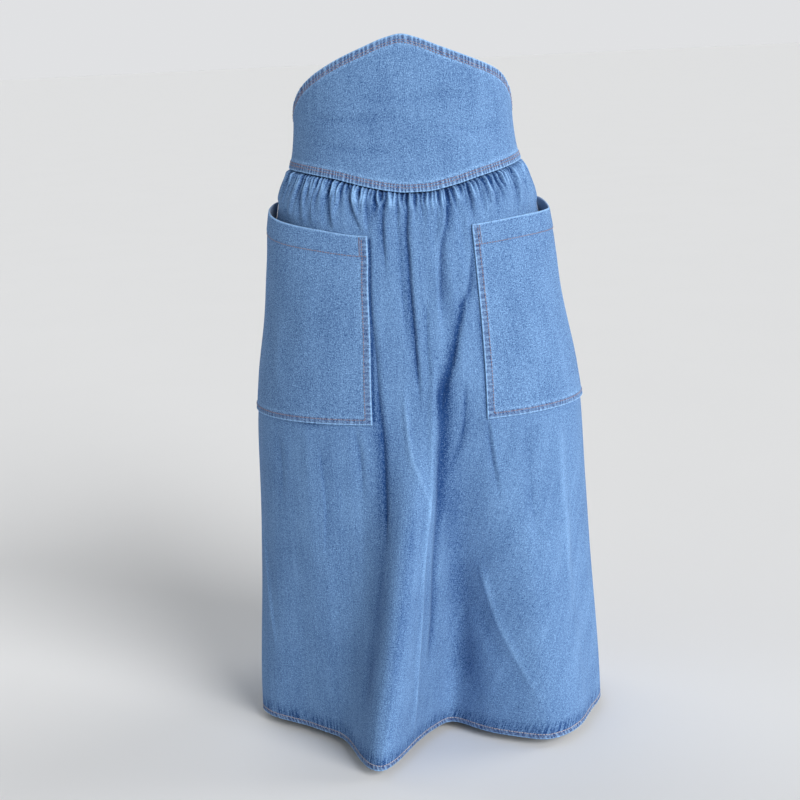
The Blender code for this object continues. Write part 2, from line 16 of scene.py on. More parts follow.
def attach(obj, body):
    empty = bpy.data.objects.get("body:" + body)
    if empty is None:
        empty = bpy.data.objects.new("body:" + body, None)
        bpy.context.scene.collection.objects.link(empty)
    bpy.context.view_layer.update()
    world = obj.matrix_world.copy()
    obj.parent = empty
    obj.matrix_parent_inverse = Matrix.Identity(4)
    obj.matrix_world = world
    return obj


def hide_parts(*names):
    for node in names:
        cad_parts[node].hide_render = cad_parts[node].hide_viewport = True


bl_info = {
    "name": "Gathered Denim Skirt",
    "version": (1, 0, 0),
    "blender": (4, 5, 0),
    "location": "3D View > Sidebar > Denim Skirt",
    "description": "Builds the cloth, stitching, zip and stage of a gathered denim midi skirt",
    "category": "Object",
}

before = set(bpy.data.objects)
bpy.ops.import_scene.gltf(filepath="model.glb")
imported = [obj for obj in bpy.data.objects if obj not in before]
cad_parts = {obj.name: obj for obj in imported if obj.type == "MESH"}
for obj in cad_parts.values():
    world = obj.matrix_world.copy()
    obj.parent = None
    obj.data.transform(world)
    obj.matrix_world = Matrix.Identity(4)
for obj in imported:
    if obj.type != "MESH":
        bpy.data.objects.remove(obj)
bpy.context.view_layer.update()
SKIRT_BODY = "skirt"


def table(name, columns, *rows):
    """Rows with named columns."""
    made = namedtuple(name, columns)
    return tuple(made(*row) for row in rows)


# ---- the solids' form: the same named sizes as the construction ----
GAP = 0.0003
YOKE_PROUD = 0.0006
POCKET_LIFT = 0.0006
HEM_HEIGHT = -0.732
HEM_TURN = 0.009
SIDE_SEAM = 50 / 192  # share of the way round, from the centre front to each side seam
ROUND_SHARE = 3.9  # degrees that spread the columns evenly along the oval
TUCK_HEIGHT = 0.0030  # of the panels' top edge, up inside the yoke

SECTIONS = table(
    "Section", "height half_width front back shift",
    (0.100, 0.1265, 0.0945, 0.0900, 0.0),
    (0.000, 0.1290, 0.0950, 0.0910, 0.0),
    (-0.030, 0.1318, 0.0980, 0.0960, 0.0),
    (-0.060, 0.1392, 0.1040, 0.1070, 0.0),
    (-0.090, 0.1515, 0.1115, 0.1180, 0.0),
    (-0.120, 0.1574, 0.1175, 0.1265, 0.0),
    (-0.150, 0.1632, 0.1222, 0.1320, 0.0010),
    (-0.180, 0.1700, 0.1265, 0.1370, 0.0014),
    (-0.240, 0.1806, 0.1325, 0.1425, 0.0034),
    (-0.300, 0.1917, 0.1360, 0.1460, 0.0043),
    (-0.360, 0.1985, 0.1382, 0.1485, 0.0050),
    (-0.450, 0.2014, 0.1370, 0.1500, 0.0050),
    (-0.540, 0.2053, 0.1340, 0.1515, 0.0042),
    (-0.740, 0.2148, 0.1280, 0.1545, 0.0038),
)
YOKE_EDGES = table(
    "Edge", "angle top seam",
    (-180, 0.008, -0.0600),
    (-130, 0.005, -0.0560),
    (-94, 0.010, -0.0525),
    (-80, 0.0245, -0.0530),
    (-64, 0.0440, -0.0545),
    (-38, 0.069, -0.0610),
    (-20, 0.084, -0.0705),
    (-8, 0.0935, -0.0765),
    (0, 0.0970, -0.0790),
    (8, 0.0925, -0.0790),
    (20, 0.082, -0.0745),
    (38, 0.068, -0.0655),
    (64, 0.0490, -0.0570),
    (80, 0.0290, -0.0535),
    (94, 0.0110, -0.0525),
    (130, 0.005, -0.0560),
    (180, 0.008, -0.0600),
)
DRIFT_TOP = -0.270  # above this nothing leans
DRIFTS = table(  # where a line down from above ends at the hem, in degrees
    "Drift", "above hem",
    (-180.0, -180.0),
    (-93.7, -93.7),
    (-56.0, -60.0),
    (-38.0, -43.0),
    (-20.0, -29.5),
    (-8.0, -21.5),
    (1.0, -14.2),
    (9.0, -7.6),
    (16.0, 3.0),
    (24.0, 18.0),
    (33.0, 33.0),
    (60.0, 61.0),
    (93.7, 93.7),
    (180.0, 180.0),
)
FOLDS = table(  # angle at the start, how far out at the hem, and the width in degrees on both sides
    "Fold", "angle start out_hem left_angle right_angle",
    (1.0, -0.300, 0.089, 10.5, 6.5),
    (18.0, -0.270, -0.049, 9.5, 9.5),
    (35.0, -0.380, 0.042, 10.5, 20.0),
    (-50.0, -0.420, -0.016, 20.0, 20.0),
    (121.0, -0.340, 0.026, 10.0, 10.0),
    (138.0, -0.320, -0.024, 9.0, 9.0),
    (157.0, -0.300, 0.046, 11.0, 10.0),
    (-176.0, -0.320, -0.024, 10.0, 10.0),
    (-150.0, -0.280, 0.052, 10.0, 11.0),
    (-127.0, -0.340, -0.024, 9.0, 9.0),
    (-111.0, -0.380, 0.016, 9.0, 9.0),
)
POCKET_BOTTOM = -0.341
POCKET_REAR = 93.7
POCKET_BELLY = 0.0030
GAPE_DEPTH = 0.58  # share of the pocket's depth over which its open mouth closes
POCKETS = table(
    "Pocket", "name side front_top front_low gape gape_at furrow mouth",
    ("pocket_left", -1, 17.3, 16.7, 0.0112, 0.73, 1.0,
     table("Mouth", "angle height", (17, -0.125), (41, -0.1175), (66, -0.108), (82, -0.099), (94, -0.093))),
    ("pocket_right", 1, 27.0, 22.5, 0.0130, 0.75, 0.45,
     table("Mouth", "angle height", (22, -0.119), (30, -0.118), (57, -0.1135), (80, -0.111), (94, -0.100))),
)
COVER_TOP = -0.095  # folds on the panel fade out below this, behind the pockets
COVER_DROP = 0.020  # metres over which they do, at the top and bottom
COVER_FADE = 4.5  # degrees over which they do, at the sides
CLEAR_FRONT = 2.2  # degrees outside a pocket's front edge over which gathers and creases come back
CLEAR_REAR = 3.0
CLEAR_BOTTOM = 0.008  # metres over which they do
CLEAR_MOUTH = 0.010
FURROW_OUT = 0.0012  # from a pocket's front edge to the middle of the furrow beside it
LOW_FURROW_OUT = 0.0008
LOW_FURROW = 0.6  # depth of the furrow below a pocket, as a share of the one beside it
FOLD_GROWTH = 0.35  # share of a great fold's height in which it sets in

SLOT_HALF = 0.0037  # from the centre back to the cloth's edge beside the zip
SLOT_REACH = 0.013
SLOT_CLOSING = 0.016
ZIP_END = -0.100

# ---- creases, listed one by one ----
# (degrees, millimetres of height) down each, then millimetres of depth and width, and the share of the depth
# by which one side rides over the other, left out for a plain trough or ridge
Place = namedtuple("Place", "angle height")
Crease = namedtuple("Crease", "path depth width lip")


def crease(path, depth, width, lip=0.0):
    """A crease in metres, from a row in millimetres."""
    places = [Place(angle, height / 1000.0) for angle, height in path]
    return Crease(places, depth / 1000.0, width / 1000.0, lip)


CREASES = [crease(*row) for row in (
    (((0.9, -55), (0.4, -90), (-0.6, -132), (-0.5, -182), (-0.4, -240), (0.2, -335)), 6.4, 4.2, 0.6),
    (((-10.2, -60), (-10.4, -100), (-10.4, -135), (-9.8, -180)), 5.6, 4.5, 0.6),
    (((-18.8, -55), (-18.2, -100), (-17.6, -135)), 5.2, 4, -0.9),
    (((-28.5, -50), (-24, -92), (-19.4, -132)), 5, 4, 0.9),
    (((-37.9, -42), (-35.6, -90), (-33.5, -130)), 4.8, 4.5, 0.8),
    (((-46, -45), (-45, -110)), 2.8, 4.5, -0.6),
    (((-56, -42), (-53.5, -114)), 4, 4.5, 0.6),
    (((-71, -40), (-73.5, -112)), 4.6, 5.5, 0.7),
    (((17.2, -55), (16.8, -86), (15.6, -112), (12.2, -144), (10.4, -189), (9.2, -250)), 5.6, 4.6, -0.55),
    (((14.2, -62), (13.8, -78), (12, -122), (10.2, -156), (8.8, -200), (8.2, -255)), -0.7, 2.2),
    (((7.4, -58), (7, -100), (6.8, -126)), 3, 4, 0.6),
    (((28.4, -110), (27.5, -125), (25.5, -147), (23, -176), (20.8, -203), (18, -245)), 5.6, 5, -0.6),
    (((23.2, -180), (20.2, -203), (17.4, -225), (15, -248), (13, -270), (10.2, -293), (8, -315), (7, -355)),
      8.4, 7, 0.5),
    (((28.2, -52), (28.8, -124)), 4, 3.8, 0.9),
    (((37.2, -48), (34.4, -120)), 4.4, 4.2, 0.7),
    (((44.5, -48), (39.6, -120)), 4, 4.2, -0.7),
    (((61.5, -42), (58, -90), (55, -122)), 5.6, 5, 0.9),
    (((70, -40), (68.2, -108)), 4.2, 4.5, 0.7),
    (((82, -40), (81, -104)), 3.8, 5.5, -0.6),
    (((-16.4, -200), (-14.6, -270), (-13.7, -329), (-12.9, -362), (-12.8, -416), (-12.8, -500)),
      4, 5.8, 0.4),
    (((5.2, -190), (4, -262), (4.6, -320)), 2.6, 8, 0.5),
    (((-5.2, -100), (-4.6, -190), (-4, -270)), 2.6, 7, -0.5),
    (((-5.6, -295), (-5.2, -327), (-4, -375), (-1.4, -402), (0.8, -430), (1.2, -475)), -2.4, 3.8),
    (((23, -334), (23.6, -360), (24.8, -395), (26.6, -450)), 4.2, 4.2, 0.8),
    (((-23.2, -338), (-21.2, -377), (-20.5, -440)), 2.6, 5.5, 0.4),
    # the front flute's crisp right edge, the falls beside it, and its flat face
    (((5.4, -262), (4.2, -314), (2, -419), (-1, -500), (-2.8, -573), (-5, -647), (-6.4, -700),
      (-7.6, -736)), -2.3, 4.4),
    (((9.4, -280), (7.8, -330), (5.8, -419), (3.2, -500), (1.6, -573), (-1, -660)), 3.6, 7),
    (((-13.6, -255), (-13, -428), (-14, -498), (-16.4, -570), (-19.2, -644), (-21.4, -710)), 2.6, 20),
    (((-3.6, -430), (-6, -516), (-8.2, -590), (-11.4, -660), (-13.4, -725)), 2.2, 10),
    # soft hollows and streaks beside the flute
    (((15.4, -292), (14.8, -330), (13.5, -360), (9.8, -393), (5.4, -424)), 4, 5.5, -0.4),
    (((13, -235), (9.4, -345), (9, -419), (9.8, -458), (10.4, -522), (11.4, -590), (12.6, -657),
      (14, -715)), 2.8, 18),
    (((18.4, -508), (20.2, -545), (22.5, -584), (26.8, -629), (30.2, -662), (34, -708)), -2.3, 4.6),
    (((14.4, -520), (16.6, -560), (19.2, -600), (23.4, -645), (27.6, -690)), 1.6, 12),
    (((-78, -480), (-76, -520), (-70.8, -596), (-67.4, -655)), -1.8, 3.4),
    (((55.4, -345), (54.5, -480), (51.2, -600)), -2, 9),
    (((40, -350), (38.6, -430), (39, -520)), 1.8, 10, 0.3),
    (((-38, -350), (-36, -440), (-37, -530)), 1.8, 10, -0.4),
    (((-60, -348), (-57, -400), (-58, -460)), 1.4, 8, 0.4),
    # sides and back, which are out of sight from the front
    (((104, -40), (105, -110), (106, -190)), 5.4, 5, 0.8),
    (((122, -40), (120, -130), (118, -240)), 5.8, 5.5, -0.8),
    (((139, -40), (140.5, -100), (142, -180)), 5.4, 5, 0.8),
    (((156, -42), (154.5, -150), (153, -260)), 6, 5.5, -0.8),
    (((168, -44), (168.6, -125)), 3.4, 4.5, 0.6),
    (((-104, -40), (-105.5, -120), (-107, -220)), 5.8, 5.5, -0.8),
    (((-113, -40), (-112, -114)), 3.4, 4.2, 0.6),
    (((-121, -40), (-120, -100), (-119, -170)), 4.8, 5, 0.7),
    (((-137, -40), (-139, -130), (-141, -250)), 6, 5.5, 0.8),
    (((-148, -42), (-147, -110)), 3.6, 4.5, -0.6),
    (((-158, -42), (-156, -110), (-154, -190)), 5.2, 5, -0.8),
    (((-170, -44), (-169, -125)), 3.4, 5, 0.5),
    (((154, -350), (158, -460), (157.5, -590), (155.5, -722)), -2.1, 7.5),
    (((-147, -330), (-151, -450), (-149, -580), (-151, -722)), -2.1, 7.5),
    (((142, -340), (139, -480), (137, -705)), 2.4, 17),
    (((-171, -330), (-174, -480), (-176.5, -700)), 2.2, 15),
    (((-132, -340), (-128.5, -480), (-126, -700)), 2.4, 17),
    (((165, -300), (169, -420), (170, -590)), 1.8, 13),
    (((111, -400), (116, -510), (125, -640)), -1.8, 6),
    (((-136, -440), (-124, -560), (-112, -670)), -1.7, 6),
    (((172, -380), (176, -470), (178, -560)), 3.2, 8, 0.5),
)]

# ---- faint level creases across the yoke, in rows like those above ----
YOKE_CREASES = [crease(*row) for row in (
    (((-62, 12), (-40, 4), (-14, 6), (8, 12)), 1.0, 6.5),
    (((-30, 28), (-6, 24), (22, 30), (44, 24)), 0.8, 7.0),
    (((18, -6), (40, -12), (64, -4)), 0.8, 6.5),
    (((-50, -22), (-24, -30), (4, -28)), 0.9, 7.0),
)]


# ---- settings that a user may change ----
def measure(name, description, default):
    return FloatProperty(name=name, description=description, default=default, unit="LENGTH")


def number(name, description, default):
    return FloatProperty(name=name, description=description, default=default)


def colour(name, description, *default):
    return FloatVectorProperty(name=name, description=description, default=default, subtype="COLOR", size=3,
                               min=0.0, max=1.0)


class ClothSettings(bpy.types.PropertyGroup):
    """Sizes and colours of the denim."""

    cloth: measure("Cloth", "Thickness of one layer", 0.0012)
    hem: measure("Hem", "Thickness of the turned hem", 0.0026)
    yoke: measure("Yoke", "Thickness of the faced yoke", 0.0020)
    pocket: measure("Pocket", "Thickness of the pocket bag", 0.0013)
    pocket_hem: measure("Pocket hem", "Thickness at the pocket's mouth", 0.0023)
    hollow_depth: measure("Hollows", "Depth of the hollows between gathers", 0.0068)
    pucker: measure("Pucker", "Height of the puckers along sewn edges", 0.00055)
    seed: IntProperty(name="Seed", description="Changes how the small gathers fall", default=11, min=0)
    dye: colour("Dye", "Warp yarn where the dye is deep", 0.010, 0.045, 0.160)
    bare: colour("Bare", "Yarn where the dye has worn off", 0.255, 0.450, 0.740)
    weft: colour("Weft", "Undyed yarn on the cloth's reverse", 0.400, 0.500, 0.640)
    stain: colour("Stain", "Grey-brown tint of the sewn bands", 0.150, 0.138, 0.168)


class StitchSettings(bpy.types.PropertyGroup):
    """Sizes and colours of the sewing."""

    length: measure("Stitch", "From one stitch to the next", 0.0034)
    thread: measure("Thread", "Thickness of the thread", 0.00120)
    rust: colour("Rust thread", "Topstitching on the yoke and pockets", 0.262, 0.215, 0.280)
    pale: colour("Pale thread", "Topstitching on the hem", 0.470, 0.420, 0.440)


class ZipSettings(bpy.types.PropertyGroup):
    """Sizes and colours of the zip."""

    pitch: measure("Pitch", "From one tooth to the next on a side", 0.0024)
    brass: colour("Brass", "Teeth, slider and pull", 0.500, 0.360, 0.170)
    tape: colour("Tape", "Woven zip tape", 0.040, 0.065, 0.130)


class StageSettings(bpy.types.PropertyGroup):
    """Floor, lights and camera."""

    floor: colour("Floor", "Colour of the floor", 0.78, 0.78, 0.78)
    key: number("Key light", "Strength of the soft light from the right front", 3.3)
    side: number("Side light", "Strength of the soft light from the right", 1.75)
    fill: number("Fill light", "Strength of the soft light from the left front", 0.46)
    back: number("Back light", "Strength of the soft light from behind", 0.8)
    horizon: number("Horizon", "Brightness of the studio at eye level", 0.77)
    zenith: number("Zenith", "Brightness of the studio overhead", 0.12)
    distance: measure("Camera distance", "From the camera to the skirt's middle plane", 2.0)
    lens: number("Lens", "Focal length in millimetres", 75.0)


# ---- small maths on arrays ----
def smooth(share):
    """0 to 1 with level ends."""
    share = np.clip(share, 0.0, 1.0)
    return share * share * (3.0 - 2.0 * share)


def bell(distance, width):
    """1 at 0, fading to both sides."""
    return np.exp(-(distance / width) ** 2)


def rising(value, start, width):
    """0 up to the start, and 1 from a width above it."""
    return smooth((value - start) / width)


def falling(value, start, width):
    """1 up to the start, and 0 from a width above it."""
    return 1.0 - rising(value, start, width)


def fading(share, start, end):
    """0 at both ends of a share from 0 to 1, rising over the start and falling over the end."""
    return smooth(share / start) * smooth((1.0 - share) / end)


def between(a, b, share):
    return a + (b - a) * share


def turn_apart(a, b):
    """Degrees from b to a, the short way round."""
    return (a - b + 180.0) % 360.0 - 180.0


def unit(vectors):
    return vectors / np.maximum(np.linalg.norm(vectors, axis=-1, keepdims=True), 1e-12)


def lengths_along(points, axis):
    """Distance run along one axis of a grid of points, from 0."""
    steps = np.linalg.norm(np.diff(points, axis=axis), axis=-1)
    start = np.zeros_like(np.take(steps, [0], axis=axis))
    return np.concatenate([start, np.cumsum(steps, axis=axis)], axis=axis)


def read(rows, key, value, at):
    """The named column of a table at places between its rows, on a smooth curve that never overshoots."""
    keys, values = np.array(sorted((getattr(row, key), getattr(row, value)) for row in rows), float).T
    steps = np.diff(values) / np.diff(keys)
    slopes = np.zeros(len(keys))
    same = steps[:-1] * steps[1:] > 0
    total = np.where(same, steps[:-1] + steps[1:], 1.0)
    slopes[1:-1] = np.where(same, 2.0 * steps[:-1] * steps[1:] / total, 0.0)
    i = np.clip(np.searchsorted(keys, at) - 1, 0, len(keys) - 2)
    span = keys[i + 1] - keys[i]
    t = np.clip((at - keys[i]) / span, 0.0, 1.0)
    return (values[i] * (1 + 2 * t) * (1 - t) ** 2 + values[i + 1] * (3 - 2 * t) * t * t
            + slopes[i] * span * t * (1 - t) ** 2 - slopes[i + 1] * span * t * t * (1 - t))


# ---- the plain form ----
def angle_of(around):
    flat = 360.0 * around
    return flat - ROUND_SHARE * np.sin(np.radians(2.0 * flat))


def around_of(angle):
    flat = angle
    for _ in range(8):
        flat = angle + ROUND_SHARE * np.sin(np.radians(2.0 * flat))
    return flat / 360.0


def half_width(height):
    return read(SECTIONS, "height", "half_width", height)


def oval(angle, height):
    """Points of the form without folds, and the level directions out of it."""
    half, front, back, shift = (read(SECTIONS, "height", size, height) for size in SECTIONS[0]._fields[1:])
    deep = np.where(np.abs(angle) <= 90.0, front, back)
    sine, cosine = np.sin(np.radians(angle)), np.cos(np.radians(angle))
    level = np.zeros_like(sine + height)
    outward = unit(np.stack([deep * sine, -half * cosine, level], -1))
    return np.stack([half * sine + shift, -deep * cosine, height + level], -1), outward


def yoke_top(angle):
    return read(YOKE_EDGES, "angle", "top", angle)


def seam_height(angle):
    return read(YOKE_EDGES, "angle", "seam", angle)


def back_angle(across, height):
    """The angle of a place near the centre back, from its metres across."""
    return 180.0 - np.degrees(np.arcsin(across / half_width(height)))


def clear_of_back(angle, start, width):
    """0 at the centre back, rising from start degrees away to 1 a width further."""
    return rising(180.0 - np.abs(angle), start, width)


def behind_pocket(angle, height):
    """1 where a pocket lies on the panel, so that the cloth is plain there, and 0 away from it."""
    front = np.where(angle < 0.0, POCKETS[0].front_low, POCKETS[1].front_low)
    size = np.abs(angle)
    wide = rising(size, front - COVER_FADE, COVER_FADE) * falling(size, POCKET_REAR, COVER_FADE)
    above = rising(height, POCKET_BOTTOM - COVER_DROP, COVER_DROP)
    return wide * above * falling(height, COVER_TOP - COVER_DROP, COVER_DROP)


def on_pocket(pocket, angle, height):
    """Degrees round on the pocket's side, those of its front edge, and the share of the way down it."""
    down = (pocket.mouth[0].height - height) / (pocket.mouth[0].height - POCKET_BOTTOM)
    return angle * pocket.side, between(pocket.front_top, pocket.front_low, np.clip(down, 0.0, 1.0)), down


def clear_of_pocket(angle, height):
    """0 under a pocket, rising to 1 a few millimetres outside its edges."""
    clear = 1.0
    for pocket in POCKETS:
        size, front, _ = on_pocket(pocket, angle, height)
        mouth = read(pocket.mouth, "angle", "height", size)
        sides = np.maximum(rising(-size, -front, CLEAR_FRONT), rising(size, POCKET_REAR, CLEAR_REAR))
        ends = np.maximum(rising(-height, -POCKET_BOTTOM, CLEAR_BOTTOM), rising(height, mouth, CLEAR_MOUTH))
        clear = clear * np.maximum(sides, ends)
    return clear


def beside_pocket(angle, height, metres):
    """Up to 1 along a narrow furrow outside the pockets' sewn edges, where the panel tucks under them."""
    furrow = 0.0
    for pocket in POCKETS:
        size, front, down = on_pocket(pocket, angle, height)
        beside = bell((front - size) * metres - FURROW_OUT, 2.0 * FURROW_OUT)
        beside = beside * rising(down, 0.0, 0.03) * falling(down, 0.99, 0.02)
        below = LOW_FURROW * bell(POCKET_BOTTOM - height - LOW_FURROW_OUT, 2.0 * LOW_FURROW_OUT)
        below = below * rising(size, front, 0.8) * falling(size, POCKET_REAR - 1.0, 1.0)
        furrow = np.maximum(furrow, pocket.furrow * np.maximum(beside, below))
    return furrow


def drifted(angle, height):
    """Angles drawn round towards the hem, as the front folds lean."""
    along = np.maximum((DRIFT_TOP - height) / (DRIFT_TOP - HEM_HEIGHT), 0.0)
    return between(angle, read(DRIFTS, "above", "hem", angle), along)


def folds(angle, height):
    """How far the great folds stand out of the oval."""
    out = 0.0
    for row in FOLDS:
        along = np.maximum((row.start - height) / (row.start - HEM_HEIGHT), 0.0)
        distance = turn_apart(angle, drifted(np.float64(row.angle), height))
        width = np.where(distance < 0.0, row.left_angle, row.right_angle)
        out = out + row.out_hem * along * rising(along, 0.0, FOLD_GROWTH) * bell(distance, width)
    return out


def draped(angle, height):
    """The oval with its great folds, before gathers and creases."""
    base, outward = oval(angle, height)
    return base + outward * (folds(angle, height) * (1.0 - behind_pocket(angle, height)))[..., None]


def facing(angle, height):
    """The level direction out of the draped cloth, and metres along the cloth for each degree."""
    reach = 0.4
    across = draped(angle + reach, height) - draped(angle - reach, height)
    outward = unit(np.stack([across[..., 1], -across[..., 0], np.zeros(across.shape[:-1])], -1))
    return outward, np.linalg.norm(across[..., :2], axis=-1) / (2.0 * reach)


def beside_slot(around, height):
    """The share of the way round, drawn aside from the centre back by the opening for the zip."""
    metres_a_turn = 2.0 * math.pi * half_width(height) * (1.0 - 2.0 * math.radians(ROUND_SHARE))
    to_back = (0.5 - np.abs(around)) * metres_a_turn
    slot_half = between(GAP / 2, SLOT_HALF, rising(height, ZIP_END - SLOT_CLOSING, SLOT_CLOSING))
    aside = slot_half * np.clip(1.0 - to_back / SLOT_REACH, 0.0, 1.0)
    return around - np.sign(around) * aside / metres_a_turn


# ---- gathers, creases and ripples ----
RIDGES = 158  # pinched up at the yoke's seam, all round
RIDGE_LENGTH = 0.020  # over which a ridge leans and its height evens out
RIDGE_WIDTH = 0.0013  # at the seam
CREST_WIDTH = 0.0009  # of the worn crest, at the seam
CREST_SPREAD = 0.06  # how much wider the crest is for each metre down
CREST_FADE = (0.009, 0.014)  # below the seam, where the crests start to fade, and over how far
# paler worn crests, partly a painted highlight
CREST_WEAR_AND_HIGHLIGHT = 0.0042
GATHERS_END = 0.085  # below the seam
BULGE = 0.0046  # of the gathered cloth, just under the seam
BULGE_RISE = (-0.0004, 0.0050)  # below the seam, where it starts, and over how far it grows
BULGE_FADE = 0.055
HOLLOW_END = 0.012  # below the seam, where the bulge and the hollows start to fade
HOLLOW_FADE = 0.034
HOLLOW_DYE_AND_SHADE = 0.85  # how much darker the hollows, tails and creases are painted for their depth: partly dye left there, partly painted shade; raised lips turn paler, partly wear, partly painted highlight
TAIL_SHADE_AND_WEAR = 0.6
CREASE_SHADE_AND_WEAR = 0.8
PLAIN_BACK = (4.0, 6.0)  # degrees from the centre back where the gathers start, and over which they grow
TAIL_TOP = 0.003  # below the seam
TAIL_REACH = 0.020  # to both sides
CREASE_REACH = 14.0  # degrees to both sides
CREASE_TOP = (-0.002, 0.006)  # below the seam, where creases may start, and over how far
START_SHARE, START_MOST = 0.22, 0.030  # of a crease's height in which it sets in, and at most metres
END_SHARE, END_MOST = 0.50, 0.070  # the same for where it dies away
BROAD_CREASE = 0.0080
BROAD_START = 6.0  # metres more to set in, for each metre of width beyond a broad crease's
LIP_WIDTH = 0.0013  # of the quick rise at a crease's lip
LIP_HEIGHT = 0.60  # share of a crease's depth by which a full lip stands out
LIP_FLOOR = 0.35  # share of the depth that a full lip takes off its floor
RIPPLE = 0.0021
RIPPLE_RISE = (0.010, 0.040)  # below the seam, where the ripples start, and over how far they grow
RIPPLE_FADE = (0.07, 0.26)
RIPPLE_LOST = 0.80  # share of their height that they lose there
RIPPLES = table(
    "Ripple", "share count start lean",
    (0.40, 23.0, 1.1, 3.0),
    (0.34, 37.0, 2.9, -5.0),
    (0.26, 61.0, 0.4, 9.0),
)
BROAD_WAVE = 0.0011
BROAD_WAVE_RISE = (0.12, 0.2)
FURROW_DEPTH = 0.0016
# painted shade along the furrow beside each pocket, in the tone
FURROW_PAINTED_SHADE = 0.0042
SEWN_DIP = 0.0021  # of the panel's face, just under the seam
SEWN_DIP_END = (-0.0002, 0.0022)
TUCK_RISE = 0.0009  # of its top edge, behind the yoke
TUCK_CLEAR = (6.0, 1.5)  # degrees from the centre back where the tuck starts, and over which it grows
TUCK_LEAST = 0.1  # at the centre back
Ridge = namedtuple("Ridge", "angle lean bend spread height")
Tail = namedtuple("Tail", "angle lean length depth width lip")


def make_gathers(settings):
    """The ridges pinched up at the seam, each unlike the next, and the long tails that some of them grow."""
    rng = np.random.default_rng(settings.seed)
    ridges, tails = [], []
    for i in range(RIDGES):
        place = (i + 0.5) / RIDGES - 0.5 + rng.uniform(-0.28, 0.28) / RIDGES
        angle = float(angle_of(place))
        lean = rng.uniform(-1.3, 1.3)
        bend, spread, height = rng.uniform(-0.6, 0.6), rng.uniform(0.10, 0.38), rng.uniform(0.50, 1.0)
        ridges.append(Ridge(angle, lean, bend, spread, height))
        if i % 5 == 1 or rng.random() > 0.85:
            tail_length = rng.uniform(0.022, 0.060)
            tail_lean = lean * 2.0 + rng.uniform(-1.0, 1.0)
            depth = rng.uniform(0.0014, 0.0032) * float(clear_of_back(angle, *PLAIN_BACK))
            width = rng.uniform(0.0022, 0.0040)
            lip = rng.choice((-1.0, 1.0)) * rng.uniform(0.5, 1.0)
            tails.append(Tail(angle + 1.2, tail_lean, tail_length, depth, width, lip))
    return ridges, tails


def fold_step(distance, depth, width, lip):
    """Across a crease: a soft slope down, then a quick rise to the side that rides over. No lip: a bell."""
    if lip == 0.0:
        return -depth * bell(distance, width)
    along = distance * math.copysign(1.0, lip)
    over = 0.5 + 0.5 * np.tanh(along / LIP_WIDTH)
    floor = depth * (1.0 - LIP_FLOOR * abs(lip))
    low = floor * (0.4 * bell(along, 0.7 * width) + 0.6 * np.exp(-(np.abs(along) / (1.8 * width)) ** 1.5))
    high = depth * LIP_HEIGHT * abs(lip) * np.exp(-(np.abs(along) / (1.5 * width)) ** 1.6)
    quick = floor * bell(along, 0.8 * width) * (1.0 - abs(lip))
    return over * (high - quick) - (1.0 - over) * low


def gathers(angle, drop, metres, made, hollow_depth):
    """How far the gathered cloth stands out under the seam, and its tone: paler crests, partly wear and
    partly painted highlight, and darker hollows and tails, partly dye left there and partly painted shade.
    """
    ridges, tails = made
    relief, tone = np.zeros(drop.shape), np.zeros(drop.shape)
    near = drop < GATHERS_END
    unsewn = rising(drop[near], -TUCK_HEIGHT, TUCK_HEIGHT)
    angle, drop, metres = angle[near], np.maximum(drop[near], 0.0), metres[near]
    calm = clear_of_back(angle, *PLAIN_BACK)
    bulge = BULGE * rising(drop, *BULGE_RISE) * falling(drop, HOLLOW_END, BULGE_FADE) * calm
    standing, crest = np.zeros(drop.shape), np.zeros(drop.shape)
    share = drop / RIDGE_LENGTH
    for ridge in ridges:
        middle = ridge.angle + ridge.lean * share + ridge.bend * np.sin(4.0 * share)
        apart = np.abs(turn_apart(angle, middle)) * metres
        tall = ridge.height ** (1.0 - np.minimum(share, 1.0))
        standing = np.maximum(standing, tall * bell(apart, RIDGE_WIDTH + ridge.spread * drop))
        crest = np.maximum(crest, tall * bell(apart, CREST_WIDTH + CREST_SPREAD * drop))
    hollow = hollow_depth * (1.0 - standing) * falling(drop, HOLLOW_END, HOLLOW_FADE) * calm * unsewn
    pull = np.zeros(drop.shape)
    for tail in tails:
        share = (drop - TAIL_TOP) / tail.length
        apart = turn_apart(angle, tail.angle + tail.lean * share) * metres
        close = (share > 0.0) & (share < 1.0) & (np.abs(apart) < TAIL_REACH)
        step = fold_step(apart[close], tail.depth, tail.width, tail.lip)
        pull[close] += fading(share[close], 0.25, 0.6) * step
    # Crests painted paler, partly wear and partly a painted highlight; hollows and tails painted darker,
    # partly dye left there and partly painted shade.
    worn = CREST_WEAR_AND_HIGHLIGHT * crest * falling(drop, *CREST_FADE) * calm
    relief[near] = bulge - hollow + pull
    tone[near] = worn - HOLLOW_DYE_AND_SHADE * hollow + TAIL_SHADE_AND_WEAR * pull
    return relief, tone


def crease_relief(angle, height, metres):
    """How far the listed creases stand out of the cloth, each fading at both ends."""
    relief = np.zeros(angle.shape)
    for row in CREASES:
        high, low = row.path[0].height, row.path[-1].height
        tall = high - low
        apart = turn_apart(angle, read(row.path, "height", "angle", height))
        close = (height < high) & (height > low) & (np.abs(apart) < CREASE_REACH)
        if close.any():
            start = min(START_SHARE * tall, START_MOST) + BROAD_START * max(row.width - BROAD_CREASE, 0.0)
            fade = fading((high - height[close]) / tall, start / tall, min(END_SHARE, END_MOST / tall))
            relief[close] += fade * fold_step(apart[close] * metres[close], row.depth, row.width, row.lip)
    return relief


